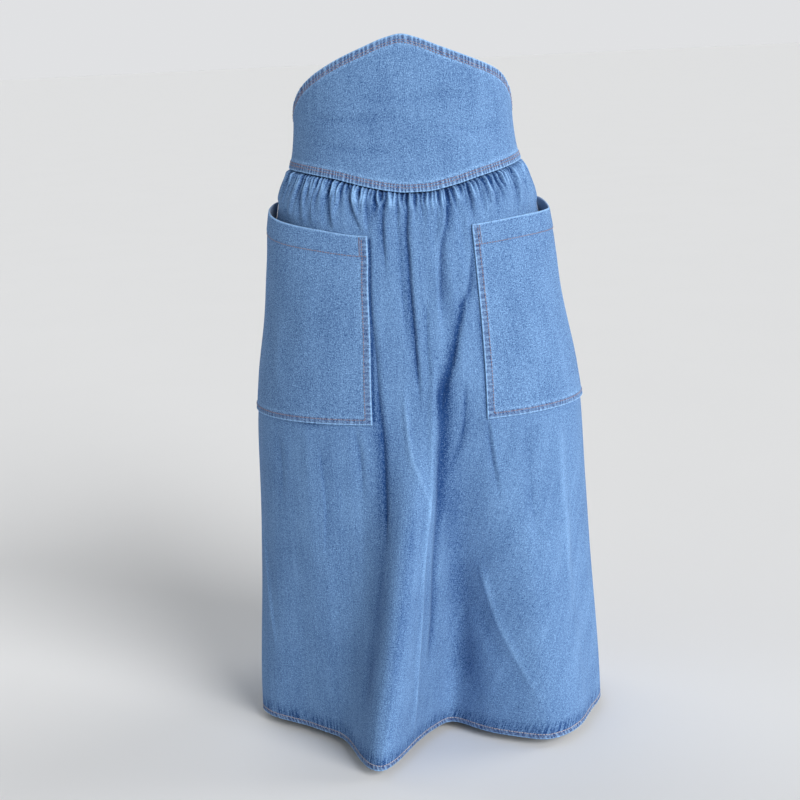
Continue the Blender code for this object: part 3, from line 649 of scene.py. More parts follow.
def ripples(angle, height, drop):
    """Low uneven waves that fall from the gathers and die away, as soft cloth has."""
    turn = np.radians(angle)
    waves = sum(row.share * np.sin(row.count * turn + row.start + row.lean * height) for row in RIPPLES)
    slow = 0.6 + 0.4 * np.sin(5.0 * turn + 7.0 * height + 0.8)
    tall = RIPPLE * rising(drop, *RIPPLE_RISE) * (1.0 - RIPPLE_LOST * rising(drop, *RIPPLE_FADE))
    broad = BROAD_WAVE * np.sin(9.0 * turn - 6.0 * height + 1.7) * np.sin(4.0 * turn + 11.0 * height)
    return waves * slow * tall + broad * rising(drop, *BROAD_WAVE_RISE)


def tucked(angle):
    """1 where the panel's top edge is tucked up inside the yoke, and near 0 at the zip's tape."""
    return between(TUCK_LEAST, 1.0, clear_of_back(angle, *TUCK_CLEAR))


def skirt_face(angle, height, made=((), ()), hollow_depth=0.0):
    """Outer face of the skirt panels: points, outward directions, the height of the relief, and its tone."""
    drop = seam_height(angle) - height
    outward, metres = facing(angle, height)
    relief, tone = gathers(angle, drop, metres, made, hollow_depth)
    creased = crease_relief(angle, height, metres) * rising(drop, *CREASE_TOP)
    plain = clear_of_pocket(angle, height)
    furrow = beside_pocket(angle, height, metres)
    relief = (relief + creased + ripples(angle, height, drop)) * plain - FURROW_DEPTH * furrow
    # The tone paints the creases darker and their lips paler (partly wear and dye, partly painted shade and
    # highlight), and the furrow beside each pocket darker as painted shade.
    tone = (tone + CREASE_SHADE_AND_WEAR * creased) * plain - FURROW_PAINTED_SHADE * furrow
    tuck = TUCK_RISE * falling(drop, -TUCK_HEIGHT, TUCK_HEIGHT) - SEWN_DIP * falling(drop, *SEWN_DIP_END)
    return draped(angle, height) + outward * (relief + tuck * tucked(angle))[..., None], outward, relief, tone


# ---- shells ----
BLUNT_END = 0.96  # share of a quarter round that an edge turns through
THIN_END = 0.48  # share of the wall that each face may give up
OUTER_BACK = 0.5 * GAP  # the outer face ends this far short of a seam
INNER_BACK = -0.9 * GAP  # the inner face runs past it, to meet the next piece
EVEN_SHARE = 0.35  # of the spacing of rows and columns, the rest being dense at both ends


def rounding(wall, *gaps):
    """How far both faces of a wall draw towards its middle, for edges that are round, at the given gaps."""
    radius = wall / 2.0
    near = [np.clip(1.0 - gap / radius, 0.0, BLUNT_END) for gap in gaps]
    inset = sum(radius * (1.0 - np.sqrt(1.0 - share ** 2)) for share in near)
    return np.minimum(inset, wall * THIN_END)[..., None]


def side_gaps(points):
    """Distance of each point of a grid from the nearer of its two sides."""
    across = lengths_along(points, 1)
    return np.minimum(across, across[:, -1:] - across)


def metric_uv(points, across, up):
    """Texture coordinates in metres: across from the middle column, and down from the top row."""
    run = lengths_along(points, 1)
    run = run - run[:, points.shape[1] // 2][:, None]
    return np.stack([run + across, up - lengths_along(points, 0)], -1)


def grid_faces(index, outside):
    """Quads of a grid of point numbers."""
    a, b, c, d = index[:-1, :-1], index[:-1, 1:], index[1:, 1:], index[1:, :-1]
    return np.stack((a, d, c, b) if outside else (a, b, c, d), -1).reshape(-1, 4).tolist()


def border_faces(fine, coarse, flip):
    """Triangles between a fine row of points and a row with half its steps."""
    a, b, c = fine[:-2:2], fine[1::2], fine[2::2]
    d, e = coarse[:-1], coarse[1:]
    faces = np.concatenate([np.stack(corners, -1) for corners in ((a, b, d), (b, e, d), (b, c, e))])
    return (faces[:, ::-1] if flip else faces).tolist()


def tube_faces(count, rings, sides):
    """Faces of closed tubes, whose points run ring by ring, clockwise as seen from the last ring."""
    index = np.arange(count * rings * sides).reshape(count, rings, sides)
    following = np.roll(index, -1, axis=2)
    quads = np.stack([index[:, :-1], index[:, 1:], following[:, 1:], following[:, :-1]], -1)
    return quads.reshape(-1, 4).tolist() + index[:, 0].tolist() + index[:, -1, ::-1].tolist()


def mesh_object(name, points, faces, uv=None, marks=None):
    """A smooth mesh in the scene. marks holds a number for each point, by name, for the materials."""
    data = bpy.data.meshes.new(name)
    data.from_pydata(points.tolist(), [], faces)
    if uv is not None:
        layer = data.uv_layers.new(name="UVMap")
        corner = np.zeros(len(data.loops), np.int32)
        data.loops.foreach_get("vertex_index", corner)
        layer.data.foreach_set("uv", uv[corner].astype(np.float32).ravel())
    for key, values in (marks or {}).items():
        data.attributes.new(key, "FLOAT", "POINT").data.foreach_set("value", values.astype(np.float32))
    data.shade_smooth()
    data.validate()
    made = bpy.data.objects.new(name, data)
    bpy.context.scene.collection.objects.link(made)
    return made


def shell(name, outer, inner, uv, marks):
    """A closed cloth wall: a fine outer grid and an inner grid of every second row and column."""
    inner = inner[::2, ::2]
    count = outer[..., 0].size
    front = np.arange(count).reshape(outer.shape[:2])
    back = count + np.arange(inner[..., 0].size).reshape(inner.shape[:2])
    faces = grid_faces(front, True) + grid_faces(back, False)
    for fine, coarse, flip in ((front[0], back[0], False), (front[-1], back[-1], True),
                               (front[:, 0], back[:, 0], True), (front[:, -1], back[:, -1], False)):
        faces += border_faces(fine, coarse, flip)
    points = np.concatenate([outer.reshape(-1, 3), inner.reshape(-1, 3)])
    uv = np.concatenate([uv.reshape(-1, 2), uv[::2, ::2].reshape(-1, 2)])
    marks = {key: np.concatenate([values.ravel(), values[::2, ::2].ravel()]) for key, values in marks.items()}
    marks["reverse"] = (np.arange(len(points)) >= count) * 1.0
    return mesh_object(name, points, faces, uv, marks)


def lowest_near(values, reach=2):
    """The lowest of the values within reach rows and columns, so that an inner face stays inside."""
    padded = np.pad(values, reach, mode="edge")
    size = 2 * reach + 1
    return np.lib.stride_tricks.sliding_window_view(padded, (size, size)).min(axis=(2, 3))


def close_seams(outer, inner):
    """Draws the outer face back from a piece's side seams, and lets the inner faces meet."""
    for faces, back in ((outer, OUTER_BACK), (inner, INNER_BACK)):
        for column, beside in ((0, 1), (-1, -2)):
            faces[:, column] += unit(faces[:, beside] - faces[:, column]) * back


def ends_dense(count):
    """Shares from 0 to 1, close together at both ends."""
    even = np.linspace(0.0, 1.0, count)
    return EVEN_SHARE * even + (1.0 - EVEN_SHARE) * (1.0 - np.cos(math.pi * even)) / 2.0


def adopt(piece, material, slot_name, *nodes):
    """Gives a piece its material, rides it on the skirt and lets it stand for solids. Its slot name is not
    used.
    """
    piece.data.materials.append(material)
    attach(piece, SKIRT_BODY)
    if nodes:
        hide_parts(*nodes)
    return piece


# ---- shader groups and materials ----
TWILL_SLANT = -0.62


class Value:
    """An output of a shader node. Sums, differences, products and quotients of values place Math nodes."""

    def __init__(self, nodes, socket):
        self.nodes = nodes
        self.socket = socket

    def __add__(self, other):
        return self.nodes.math("ADD", self, other)

    def __sub__(self, other):
        return self.nodes.math("SUBTRACT", self, other)

    def __rsub__(self, other):
        return self.nodes.math("SUBTRACT", other, self)

    def __mul__(self, other):
        return self.nodes.math("MULTIPLY", self, other)

    def __truediv__(self, other):
        return self.nodes.math("DIVIDE", self, other)


class Nodes:
    """Short calls for building a node tree from left to right."""

    def __init__(self, tree):
        self.tree = tree

    def add(self, kind, **settings):
        node = self.tree.nodes.new(kind)
        for key, value in settings.items():
            setattr(node, key, value)
        return node

    def put(self, node, inputs):
        """Links values to a node's inputs, and sets constants there."""
        for key, value in inputs.items():
            socket = node.inputs[key]
            if isinstance(value, Value):
                self.tree.links.new(value.socket, socket)
            else:
                socket.default_value = (*value, 1.0) if socket.type == "RGBA" else value

    def out(self, kind, inputs, output=0, **settings):
        """An output of a new node with the given inputs."""
        node = self.add(kind, **settings)
        self.put(node, inputs)
        return Value(self, node.outputs[output])

    def math(self, operation, *values, clamp=False):
        return self.out("ShaderNodeMath", dict(enumerate(values)), operation=operation, use_clamp=clamp)

    def mix(self, share, a, b):
        return self.out("ShaderNodeMix", {"Factor": share, "A": a, "B": b}, "Result", data_type="RGBA")

    def fit(self, value, low, high, to_low=0.0, to_high=1.0):
        inputs = dict(enumerate((value, low, high, to_low, to_high)))
        return self.out("ShaderNodeMapRange", inputs, interpolation_type="SMOOTHSTEP")

    def mark(self, name):
        return self.out("ShaderNodeAttribute", {}, "Fac", attribute_type="GEOMETRY", attribute_name=name)

    def uv(self):
        return self.out("ShaderNodeUVMap", {}, "UV", uv_map="UVMap")

    def place(self, kind="Object"):
        return self.out("ShaderNodeTexCoord", {}, kind)

    def part(self, vector, axis):
        return self.out("ShaderNodeSeparateXYZ", {0: vector}, axis)

    def noise(self, vector, scales, detail=2.0, rough=0.5):
        """Noise with a scale of its own along each axis."""
        scaled = self.out("ShaderNodeVectorMath", {0: vector, 1: scales}, operation="MULTIPLY")
        inputs = {"Vector": scaled, "Scale": 1.0, "Detail": detail, "Roughness": rough}
        return self.out("ShaderNodeTexNoise", inputs, "Fac")


def new_group(name, inputs, outputs):
    """An empty shader group of numbers, whose inputs come with their defaults."""
    tree = bpy.data.node_groups.new(name, "ShaderNodeTree")
    for title, default in inputs.items():
        socket = tree.interface.new_socket(title, in_out="INPUT", socket_type="NodeSocketFloat")
        socket.default_value = default
    for title in outputs:
        tree.interface.new_socket(title, in_out="OUTPUT", socket_type="NodeSocketFloat")
    nodes = Nodes(tree)
    given = nodes.add("NodeGroupInput").outputs
    return nodes, {title: Value(nodes, given[title]) for title in inputs}


def weave_group(name):
    """Twill lines, yarn slubs and pale flecks, from texture coordinates in metres."""
    nodes, given = new_group(name, dict(Pitch=0.0010, Speckle=1.0), ("Fade", "Height"))
    uv = nodes.uv()
    slant = nodes.part(uv, 0) + nodes.part(uv, 1) * TWILL_SLANT
    turns = slant / given["Pitch"] + nodes.noise(uv, (260.0, 60.0, 1.0)) * 1.1
    lines = nodes.math("SINE", turns * (2.0 * math.pi))
    grain = nodes.noise(uv, (760.0, 640.0, 1.0), 2.0, 0.55)
    fine = nodes.noise(uv, (1300.0, 1150.0, 3.0), 1.0)
    slub = nodes.noise(uv, (900.0, 170.0, 1.0), 1.0)
    weft = nodes.noise(uv, (190.0, 980.0, 1.0), 1.0)
    yarns = (grain - 0.5) * 2.30 + (fine - 0.5) * 0.80 + (slub - 0.5) * 0.90 + (weft - 0.5) * 0.80
    fleck = nodes.fit(grain, 0.60, 0.74) * 0.35
    fade = (yarns + fleck) * given["Speckle"] + lines * 0.07
    nodes.put(nodes.add("NodeGroupOutput"), {"Fade": fade, "Height": grain + lines * 0.30 + slub * 0.8})
    return nodes.tree


def wear_and_shade_group(name):
    """Pale wear on folded edges; paler crests and darker hollows from the relief mark, partly wear and dye,
    partly painted highlight and shade; a band of painted shade above the sewn band; and the look of a sewn
    band.
    """
    inputs = dict(Edge=0.35, Band=0.010, Ticks=0.20, Ridge=0.30, Shade=0.0, Dark=0.10, Halo=0.20)
    nodes, given = new_group(name, inputs, ("Fade", "Stain"))
    gap, band_gap, along, relief = (nodes.mark(key) for key in ("edge_gap", "band_gap", "along", "relief"))
    uv = nodes.uv()
    uneven = nodes.noise(uv, (210.0, 210.0, 1.0), 3.0, 0.6)
    patchy = nodes.noise(uv, (55.0, 55.0, 1.0))
    flecks = nodes.noise(uv, (420.0, 300.0, 1.0), 2.0, 0.6)
    streak = nodes.noise(uv, (330.0, 26.0, 1.0), 2.0, 0.6)
    rim = nodes.fit(gap, 0.0006, 0.0023, 1.0, 0.0)
    inside = nodes.fit(band_gap, given["Band"], given["Band"] * 1.15, 1.0, 0.0)
    core = inside * (1.0 - rim)
    edge = rim * given["Edge"] * nodes.fit(uneven, 0.30, 0.62, 0.5, 1.2)
    tick = nodes.fit(nodes.math("SINE", along * (2.0 * math.pi)), -0.3, 0.9, -0.5, 1.0)
    tick = tick * inside * given["Ticks"] * nodes.fit(patchy, 0.35, 0.62, 0.6, 1.25)
    # The sewn band darkened in blotches: partly stain, partly painted shade of the stitching's dents.
    dark = core * given["Dark"] * nodes.fit(uneven, 0.40, 0.62, -2.2, 0.2)
    bands = band_gap / given["Band"]
    halo = nodes.fit(bands, 1.02, 1.22) * nodes.fit(bands, 1.25, 1.75, 1.0, 0.0)
    halo = halo * given["Halo"] * nodes.fit(flecks, 0.42, 0.60, 0.2, 1.5)
    # Paler where the relief mark is high, partly wear and partly painted highlight; darker where it is low,
    # partly dye left there and partly painted shade.
    high = nodes.fit(relief, 0.0004, 0.0036)
    low = nodes.fit(relief, -0.0052, 0.0002, -1.0, 0.0)
    above = nodes.fit(gap, 0.0052, 0.0070) * nodes.fit(gap, 0.0090, 0.0260, 1.0, 0.0)
    shade = above * nodes.fit(streak, 0.32, 0.66, -1.4, 0.05) * given["Shade"]
    fade = edge + tick + (high + low) * given["Ridge"] + dark + halo + shade
    stain = core * nodes.fit(uneven, 0.30, 0.65, 0.55, 1.0)
    nodes.put(nodes.add("NodeGroupOutput"), {"Fade": fade, "Stain": stain})
    return nodes.tree


def use_group(nodes, name, make, **values):
    """The outputs of a shared group, which is made on its first use."""
    node = nodes.add("ShaderNodeGroup", node_tree=bpy.data.node_groups.get(name) or make(name))
    nodes.put(node, values)
    return {socket.name: Value(nodes, socket) for socket in node.outputs}


def new_material(name):
    made = bpy.data.materials.new(name)
    made.use_nodes = True
    return made, Nodes(made.node_tree), made.node_tree.nodes["Principled BSDF"]


def shaded(colour, share, lift=0.0):
    return tuple(min(share * value + lift, 1.0) for value in colour)


def denim(name, settings, tint, speckle, **wear_and_shade_values):
    """Worn twill. tint is how far the sewn bands turn grey-brown, and wear_and_shade_values go to the group
    of wear and painted shade.
    """
    made, nodes, shader = new_material(name)
    weave = use_group(nodes, "twill_weave", weave_group, Speckle=speckle)
    wear = use_group(nodes, "edge_wear", wear_and_shade_group, **wear_and_shade_values)
    wash = nodes.noise(nodes.uv(), (26.0, 15.0, 1.0), 4.0, 0.55)
    streaks = nodes.noise(nodes.uv(), (230.0, 14.0, 1.0))
    fade = (wash - 0.5) * 0.32 + (streaks - 0.5) * 0.22 + weave["Fade"] * 0.50 + 0.42
    fade = nodes.math("ADD", fade, wear["Fade"], clamp=True)
    face = nodes.mix(fade, settings.dye, settings.bare)
    face = nodes.mix(wear["Stain"] * tint, face, settings.stain)
    weft_tone = nodes.math("MULTIPLY_ADD", weave["Fade"], 0.5, 0.5, clamp=True)
    reverse = nodes.mix(weft_tone, shaded(settings.weft, 0.55), settings.weft)
    bump = {"Strength": 0.35, "Distance": 0.00025, "Height": weave["Height"]}
    nodes.put(shader, {
        "Base Color": nodes.mix(nodes.mark("reverse"), face, reverse),
        "Roughness": nodes.fit(fade, 0.2, 0.9, 0.96, 0.86),
        "Normal": nodes.out("ShaderNodeBump", bump, "Normal"),
        "Specular IOR Level": 0.12,
        "Sheen Weight": 0.10,
        "Sheen Roughness": 0.45,
        "Sheen Tint": (0.60, 0.78, 1.0),
    })
    return made


def thread_material(name, yarn):
    made, nodes, shader = new_material(name)
    strands = nodes.noise(nodes.place(), (900.0,) * 3, 2.0, 0.6)
    faded = nodes.noise(nodes.place(), (38.0,) * 3, 3.0, 0.6)
    tone = nodes.mix(nodes.fit(strands, 0.3, 0.7), shaded(yarn, 0.55), yarn)
    tone = nodes.mix(nodes.fit(faded, 0.50, 0.80, 0.0, 0.55), tone, shaded(yarn, 0.5, 0.30))
    nodes.put(shader, {"Base Color": tone, "Roughness": nodes.fit(strands, 0.2, 0.8, 0.55, 0.75)})
    return made


def tape_material(settings):
    made, nodes, shader = new_material("zip_tape_weave")
    ribs = nodes.noise(nodes.place(), (1600.0, 60.0, 260.0), 1.0)
    tone = nodes.mix(ribs, shaded(settings.tape, 0.6), settings.tape)
    nodes.put(shader, {"Base Color": tone, "Roughness": nodes.fit(ribs, 0.2, 0.8, 0.95, 0.80)})
    return made


def brass_material(settings):
    made, nodes, shader = new_material("zip_brass")
    tarnish = nodes.noise(nodes.place(), (420.0,) * 3, 3.0, 0.6)
    scratch = nodes.noise(nodes.place(), (3000.0, 400.0, 400.0), 1.0)
    tone = nodes.mix(nodes.fit(tarnish, 0.35, 0.7), settings.brass, shaded(settings.brass, 0.45))
    rough = nodes.fit(scratch, 0.2, 0.8, 0.28, 0.46)
    nodes.put(shader, {"Base Color": tone, "Roughness": rough, "Metallic": 1.0})
    return made


# ---- puckered edges ----
GROOVE_DEPTH = 0.00030
GROOVE_WIDTH = 0.0008
BAND_STEP = 0.0015  # over which the edge of a turned band steps down


def wobbled(steps):
    """Counts steps along a seam unevenly, as hand-guided sewing does."""
    return steps + 0.20 * np.sin(1.7 * steps + 0.6) + 0.16 * np.sin(0.73 * steps + 2.1)


def pucker(along, to_edge, period, reach, slant=0.0):
    """The wave that sewing draws into an edge, strongest inside the stitch line and faint in places."""
    steps = along / period
    phase = wobbled(steps) + slant * to_edge / reach
    uneven = 0.66 + 0.34 * np.sin(1.9 * steps + 0.7) * np.sin(0.61 * steps)
    fade = np.exp(-(np.maximum(to_edge - 0.8 * reach, 0.0) / (0.40 * reach)) ** 2)
    return np.sin(2.0 * math.pi * phase) * uneven * fade


def groove(to_edge, *rows):
    """The dent that each row of stitching presses in."""
    return -sum(GROOVE_DEPTH * bell(to_edge - row, GROOVE_WIDTH) for row in rows)


# ---- skirt panels ----
PANELS = table(
    "Panel", "name start end columns flat",
    ("skirt_front", -SIDE_SEAM, SIDE_SEAM, 565, (0.77, 0.69)),
    ("skirt_back_right", SIDE_SEAM, 0.5, 301, (0.37, 0.69)),
    ("skirt_back_left", -0.5, -SIDE_SEAM, 301, (0.37, 0.69)),
)
DROP = 0.670  # nominal, from the seam to the hem, which the rows of points are spaced on
HEM_ROUND = 0.0015  # of the drop, in which the hem's edge turns round
HEM_ROUND_ROWS = (0.0, 0.35, 0.62, 0.82, 0.94, 1.0)
STRETCHES = table(  # how far down each stretch of rows starts, and its points to the start of the next
    "Stretch", "start count",
    (-TUCK_HEIGHT, 3), (0.0, 8), (0.004, 17), (0.020, 17), (0.060, 29), (0.200, 51), (DROP - 0.020, 13),
    (DROP - HEM_ROUND, 1),
)
SLOT_TOP = 0.0004  # the panel's top edge below the seam, beside the zip
HEM_STITCH = 0.0060  # above the hem
HEM_PERIOD = 0.0058
HEM_SLANT = 0.5  # turns by which a pucker leans between the stitching and the edge
HEM_GROOVE = 1.2  # depth of the stitching's dent, as a share of the usual one
HEM_STEP = 0.0012
SEAM_DIP = 0.0005  # of the panel's face along its side seams
SEAM_DIP_WIDTH = 0.0016


def skirt_drops():
    """Rows of the panels, close together in the gathers and at the hem, as drops from seam to hem."""
    rows = [np.linspace(a.start, b.start, a.count)[:-1] for a, b in zip(STRETCHES, STRETCHES[1:])]
    return np.concatenate(rows + [DROP - HEM_ROUND + HEM_ROUND * np.array(HEM_ROUND_ROWS)])


def skirt_grid(start, end, columns):
    """(angle, height) of each point of a panel's grid."""
    around = np.linspace(start, end, columns)[None, :]
    drops = skirt_drops()[:, None]
    seam, rise = seam_height(angle_of(around)), tucked(angle_of(around))
    above = seam - drops * rise - SLOT_TOP * (1.0 - rise)
    height = np.where(drops <= 0.0, above, between(seam, HEM_HEIGHT, drops / DROP))
    return drifted(angle_of(beside_slot(around, height)), height), height


def hem_run(angle):
    """Metres round the hem from the centre back to each angle."""
    angles = np.linspace(-180.0, 180.0, 1441)
    return np.interp(angle, angles, lengths_along(draped(angles, HEM_HEIGHT), 0))


def hem_wave(angle, to_hem, settings):
    """The hem's puckers, and the dent along its stitching."""
    wave = settings.pucker * pucker(hem_run(angle), to_hem, HEM_PERIOD, HEM_STITCH, HEM_SLANT)
    return wave + groove(to_hem, HEM_STITCH) * HEM_GROOVE


def panel_shell(panel, settings, made):
    angle, height = skirt_grid(panel.start, panel.end, panel.columns)
    points, outward, relief, tone = skirt_face(angle, height, made, settings.hollow_depth)
    to_hem, to_side = height - HEM_HEIGHT, side_gaps(points)
    wave = hem_wave(angle, to_hem, settings)[..., None]
    wall = between(settings.hem, settings.cloth, rising(to_hem, HEM_TURN - HEM_STEP / 2, HEM_STEP))
    inset = rounding(wall, to_hem, to_side)
    seam_dip = SEAM_DIP * bell(to_side, SEAM_DIP_WIDTH)[..., None]
    outer = points + outward * (wave - seam_dip - inset)
    kept_in = (lowest_near(relief) - relief - wall)[..., None]
    inner = points + outward * (kept_in + np.minimum(wave, 0.0) + inset)
    close_seams(outer, inner)
    along = wobbled(hem_run(angle) / HEM_PERIOD) + HEM_SLANT * to_hem / HEM_STITCH
    uv = metric_uv(draped(angle, height), panel.start, 0.0)
    marks = {"edge_gap": to_hem, "band_gap": to_hem, "along": along, "relief": tone}
    return shell(panel.name + "_cloth", outer, inner, uv, marks)


class SKIRT_OT_panels(bpy.types.Operator):
    """Builds the gathered front and back panels, down to the hem"""

    bl_idname = "skirt.panels"
    bl_label = "Skirt Panels"

    def execute(self, context):
        settings = context.scene.skirt_cloth
        made = make_gathers(settings)
        material = denim("denim_panels", settings, tint=0.30, speckle=1.0, Band=HEM_STITCH, Ticks=0.26,
                         Edge=0.34, Ridge=0.42, Shade=0.30, Dark=0.16, Halo=0.0)
        for panel in PANELS:
            piece = adopt(panel_shell(panel, settings, made), material, "denim", panel.name)
        return {"FINISHED"}


# ---- yoke ----
YOKES = table(
    "Yoke", "name start end columns rows flat area",
    ("yoke_front", -SIDE_SEAM, SIDE_SEAM, 421, 71, (0.37, 0.18), 0.050),
    ("yoke_back_right", SIDE_SEAM, 0.5, 221, 51, (0.17, 0.075), None),
    ("yoke_back_left", -0.5, -SIDE_SEAM, 221, 51, (0.17, 0.075), None),
)
YOKE_TOP_ROWS = (0.0066, 0.0094)  # stitching below the top edge
YOKE_LOW_ROWS = (0.0052, 0.0082)  # stitching above the seam
YOKE_BAND = 0.0086  # stained width, in from both edges
TOP_BAND, TOP_BAND_OUT = 0.0101, 0.00035  # the turned band's depth, and how far it stands out
LOW_BAND, LOW_BAND_OUT = 0.0089, 0.00045
YOKE_GIRTH = 0.74
TOP_PERIOD, TOP_PUCKER = 0.0057, 0.75  # from one pucker to the next, and a share of their usual height
LOW_PERIOD, LOW_PUCKER = 0.0042, 0.95
YOKE_TONE = 2.0  # how strongly the relief shows in the colour, for its height: highs paler, partly wear and partly painted highlight, and dents darker, partly dye and partly painted shade
YOKE_UV_UP = 2.0  # metres, so that its wear doesn't repeat the panels'


def yoke_gaps(angle, height):
    """Distances to the yoke's top edge and to its seam."""
    return yoke_top(angle) - height, height - seam_height(angle)


def yoke_face(angle, height, settings):
    """Outer face of the yoke, with its turned bands, puckers, stitch dents and faint creases."""
    to_top, to_low = yoke_gaps(angle, height)
    along = around_of(angle) * YOKE_GIRTH
    relief = TOP_BAND_OUT * falling(to_top, TOP_BAND, BAND_STEP)
    relief = relief + LOW_BAND_OUT * falling(to_low, LOW_BAND, BAND_STEP)
    relief = relief + settings.pucker * TOP_PUCKER * pucker(along, to_top, TOP_PERIOD, YOKE_TOP_ROWS[1])
    relief = relief + settings.pucker * LOW_PUCKER * pucker(along, to_low, LOW_PERIOD, YOKE_LOW_ROWS[1])
    relief = relief + groove(to_top, *YOKE_TOP_ROWS) + groove(to_low, *YOKE_LOW_ROWS)
    for row in YOKE_CREASES:
        angles, heights = np.array(row.path, float).T
        fade = fading((angle - angles[0]) / (angles[-1] - angles[0]), 0.3, 0.3)
        above = height - np.interp(angle, angles, heights)
        trough = bell(above, row.width) - 0.5 * bell(above - row.width, row.width)
        relief = relief - row.depth * fade * trough
    base, outward = oval(angle, height)
    return base + outward * (YOKE_PROUD + relief)[..., None], outward, relief


def yoke_shell(yoke, settings):
    around = np.linspace(yoke.start, yoke.end, yoke.columns)[None, :]
    top, low = yoke_top(angle_of(around)), seam_height(angle_of(around))
    height = between(top, low, ends_dense(yoke.rows)[:, None])
    angle = angle_of(beside_slot(around, height))
    points, outward, relief = yoke_face(angle, height, settings)
    to_top, to_low = yoke_gaps(angle, height)
    to_edge = np.minimum(to_top, to_low)
    inset = rounding(settings.yoke, to_edge, side_gaps(points))
    outer = points - outward * inset
    inner = oval(angle, height)[0] + outward * (YOKE_PROUD - settings.yoke + inset)
    close_seams(outer, inner)
    along = wobbled(around_of(angle) * YOKE_GIRTH / np.where(to_top < to_low, TOP_PERIOD, LOW_PERIOD))
    uv = metric_uv(points, yoke.start, YOKE_UV_UP)
    marks = {"edge_gap": to_edge, "band_gap": to_edge, "along": along, "relief": relief * YOKE_TONE}
    return shell(yoke.name + "_cloth", outer, inner, uv, marks)


class SKIRT_OT_yoke(bpy.types.Operator):
    """Builds the peaked front yoke and the two halves of the back yoke"""

    bl_idname = "skirt.yoke"
    bl_label = "Yoke"

    def execute(self, context):
        settings = context.scene.skirt_cloth
        material = denim("denim_yoke", settings, tint=0.20, speckle=1.2, Band=YOKE_BAND, Ticks=0.32,
                         Edge=0.50, Ridge=0.30, Dark=0.05, Halo=0.22)
        for yoke in YOKES:
            piece = adopt(yoke_shell(yoke, settings), material, "denim", yoke.name)
        return {"FINISHED"}


# ---- pockets ----
STREAK_COLUMNS = "across start end slant height width"
POCKET_HEM_STITCH = 0.0230
POCKET_HEM_TURN, POCKET_HEM_STEP = 0.0220, 0.003  # where the turned mouth starts to thin, and over how far
MOUTH_CALM = 0.01  # below the mouth, over which the puckers grow
POCKET_EDGE_STITCH = 0.0060
POCKET_BAND, POCKET_BAND_OUT = 0.0075, 0.00035
POCKET_STAIN = 0.0074
POCKET_PERIOD, POCKET_PUCKER = 0.0062, 0.80
# how strongly the relief shows in the colour, as on the yoke: highs paler, partly wear and partly painted
# highlight, and dents darker, partly dye and partly painted shade
POCKET_TONE = 1.4
POCKET_UV_ACROSS = 4.0  # metres to each side, for the same end
POCKET_DEGREE = 0.0032  # metres along the bottom edge for each degree
POCKET_COLUMNS = 161
POCKET_ROWS = 187
POCKET_STREAKS = {
    "pocket_left": table(
        "Streak", STREAK_COLUMNS,
        (0.80, 0.04, 0.62, -0.05, 0.0008, 0.040),
        (0.33, 0.20, 0.75, 0.06, 0.0007, 0.060),
        (0.58, 0.45, 0.95, -0.05, 0.0008, 0.050),
    ),
    "pocket_right": table(
        "Streak", STREAK_COLUMNS,
        (0.52, -0.05, 0.30, -0.03, 0.0006, 0.040),
        (0.76, 0.04, 0.80, 0.04, 0.0008, 0.050),
        (0.30, 0.35, 0.90, 0.05, 0.0008, 0.060),
    ),
}
PocketFace = namedtuple("PocketFace", "points outward relief wall front rear bottom mouth along")


def pocket_face(pocket, across, down, settings):
    """Outer face of a pocket bag: across from its front edge to its rear, down from mouth to bottom."""
    front = between(pocket.front_top, pocket.front_low, down)
    size = between(front, POCKET_REAR, across)
    mouth = read(pocket.mouth, "angle", "height", size)
    height = between(mouth, POCKET_BOTTOM, down)
    arch = np.sin(math.pi * np.clip(across, 0.0, 1.0) ** (math.log(0.5) / math.log(pocket.gape_at)))
    gape = pocket.gape * np.maximum(arch, 0.0) * falling(down, 0.0, GAPE_DEPTH) ** 1.5
    belly = POCKET_BELLY * np.sin(math.pi * across) * np.sin(math.pi * np.clip(down, 0.0, 1.0))
    angle = pocket.side * size
    outward, metres_a_degree = facing(angle, height)
    to_front = (size - front) * metres_a_degree
    to_bottom = height - POCKET_BOTTOM
    to_mouth = mouth - height
    wall = between(settings.pocket_hem, settings.pocket, rising(to_mouth, POCKET_HEM_TURN, POCKET_HEM_STEP))
    edge = np.minimum(to_front, to_bottom)
    along = np.where(to_front < to_bottom, height, angle * POCKET_DEGREE)
    relief = settings.pucker * POCKET_PUCKER * pucker(along, edge, POCKET_PERIOD, POCKET_EDGE_STITCH)
    relief = relief * rising(to_mouth, 0.0, MOUTH_CALM)
    relief = relief + POCKET_BAND_OUT * falling(edge, POCKET_BAND, BAND_STEP)
    relief = relief + groove(edge, POCKET_EDGE_STITCH) + groove(to_mouth, POCKET_HEM_STITCH)
    for row in POCKET_STREAKS[pocket.name]:
        share = (down - row.start) / (row.end - row.start)
        beside = across - row.across - row.slant * share
        relief = relief + row.height * fading(share, 0.3, 0.4) * bell(beside, row.width)
    points = draped(angle, height) + outward * (POCKET_LIFT + gape + belly + wall + relief)[..., None]
    to_rear = (POCKET_REAR - size) * metres_a_degree
    return PocketFace(points, outward, relief, wall, to_front, to_rear, to_bottom, to_mouth, along)


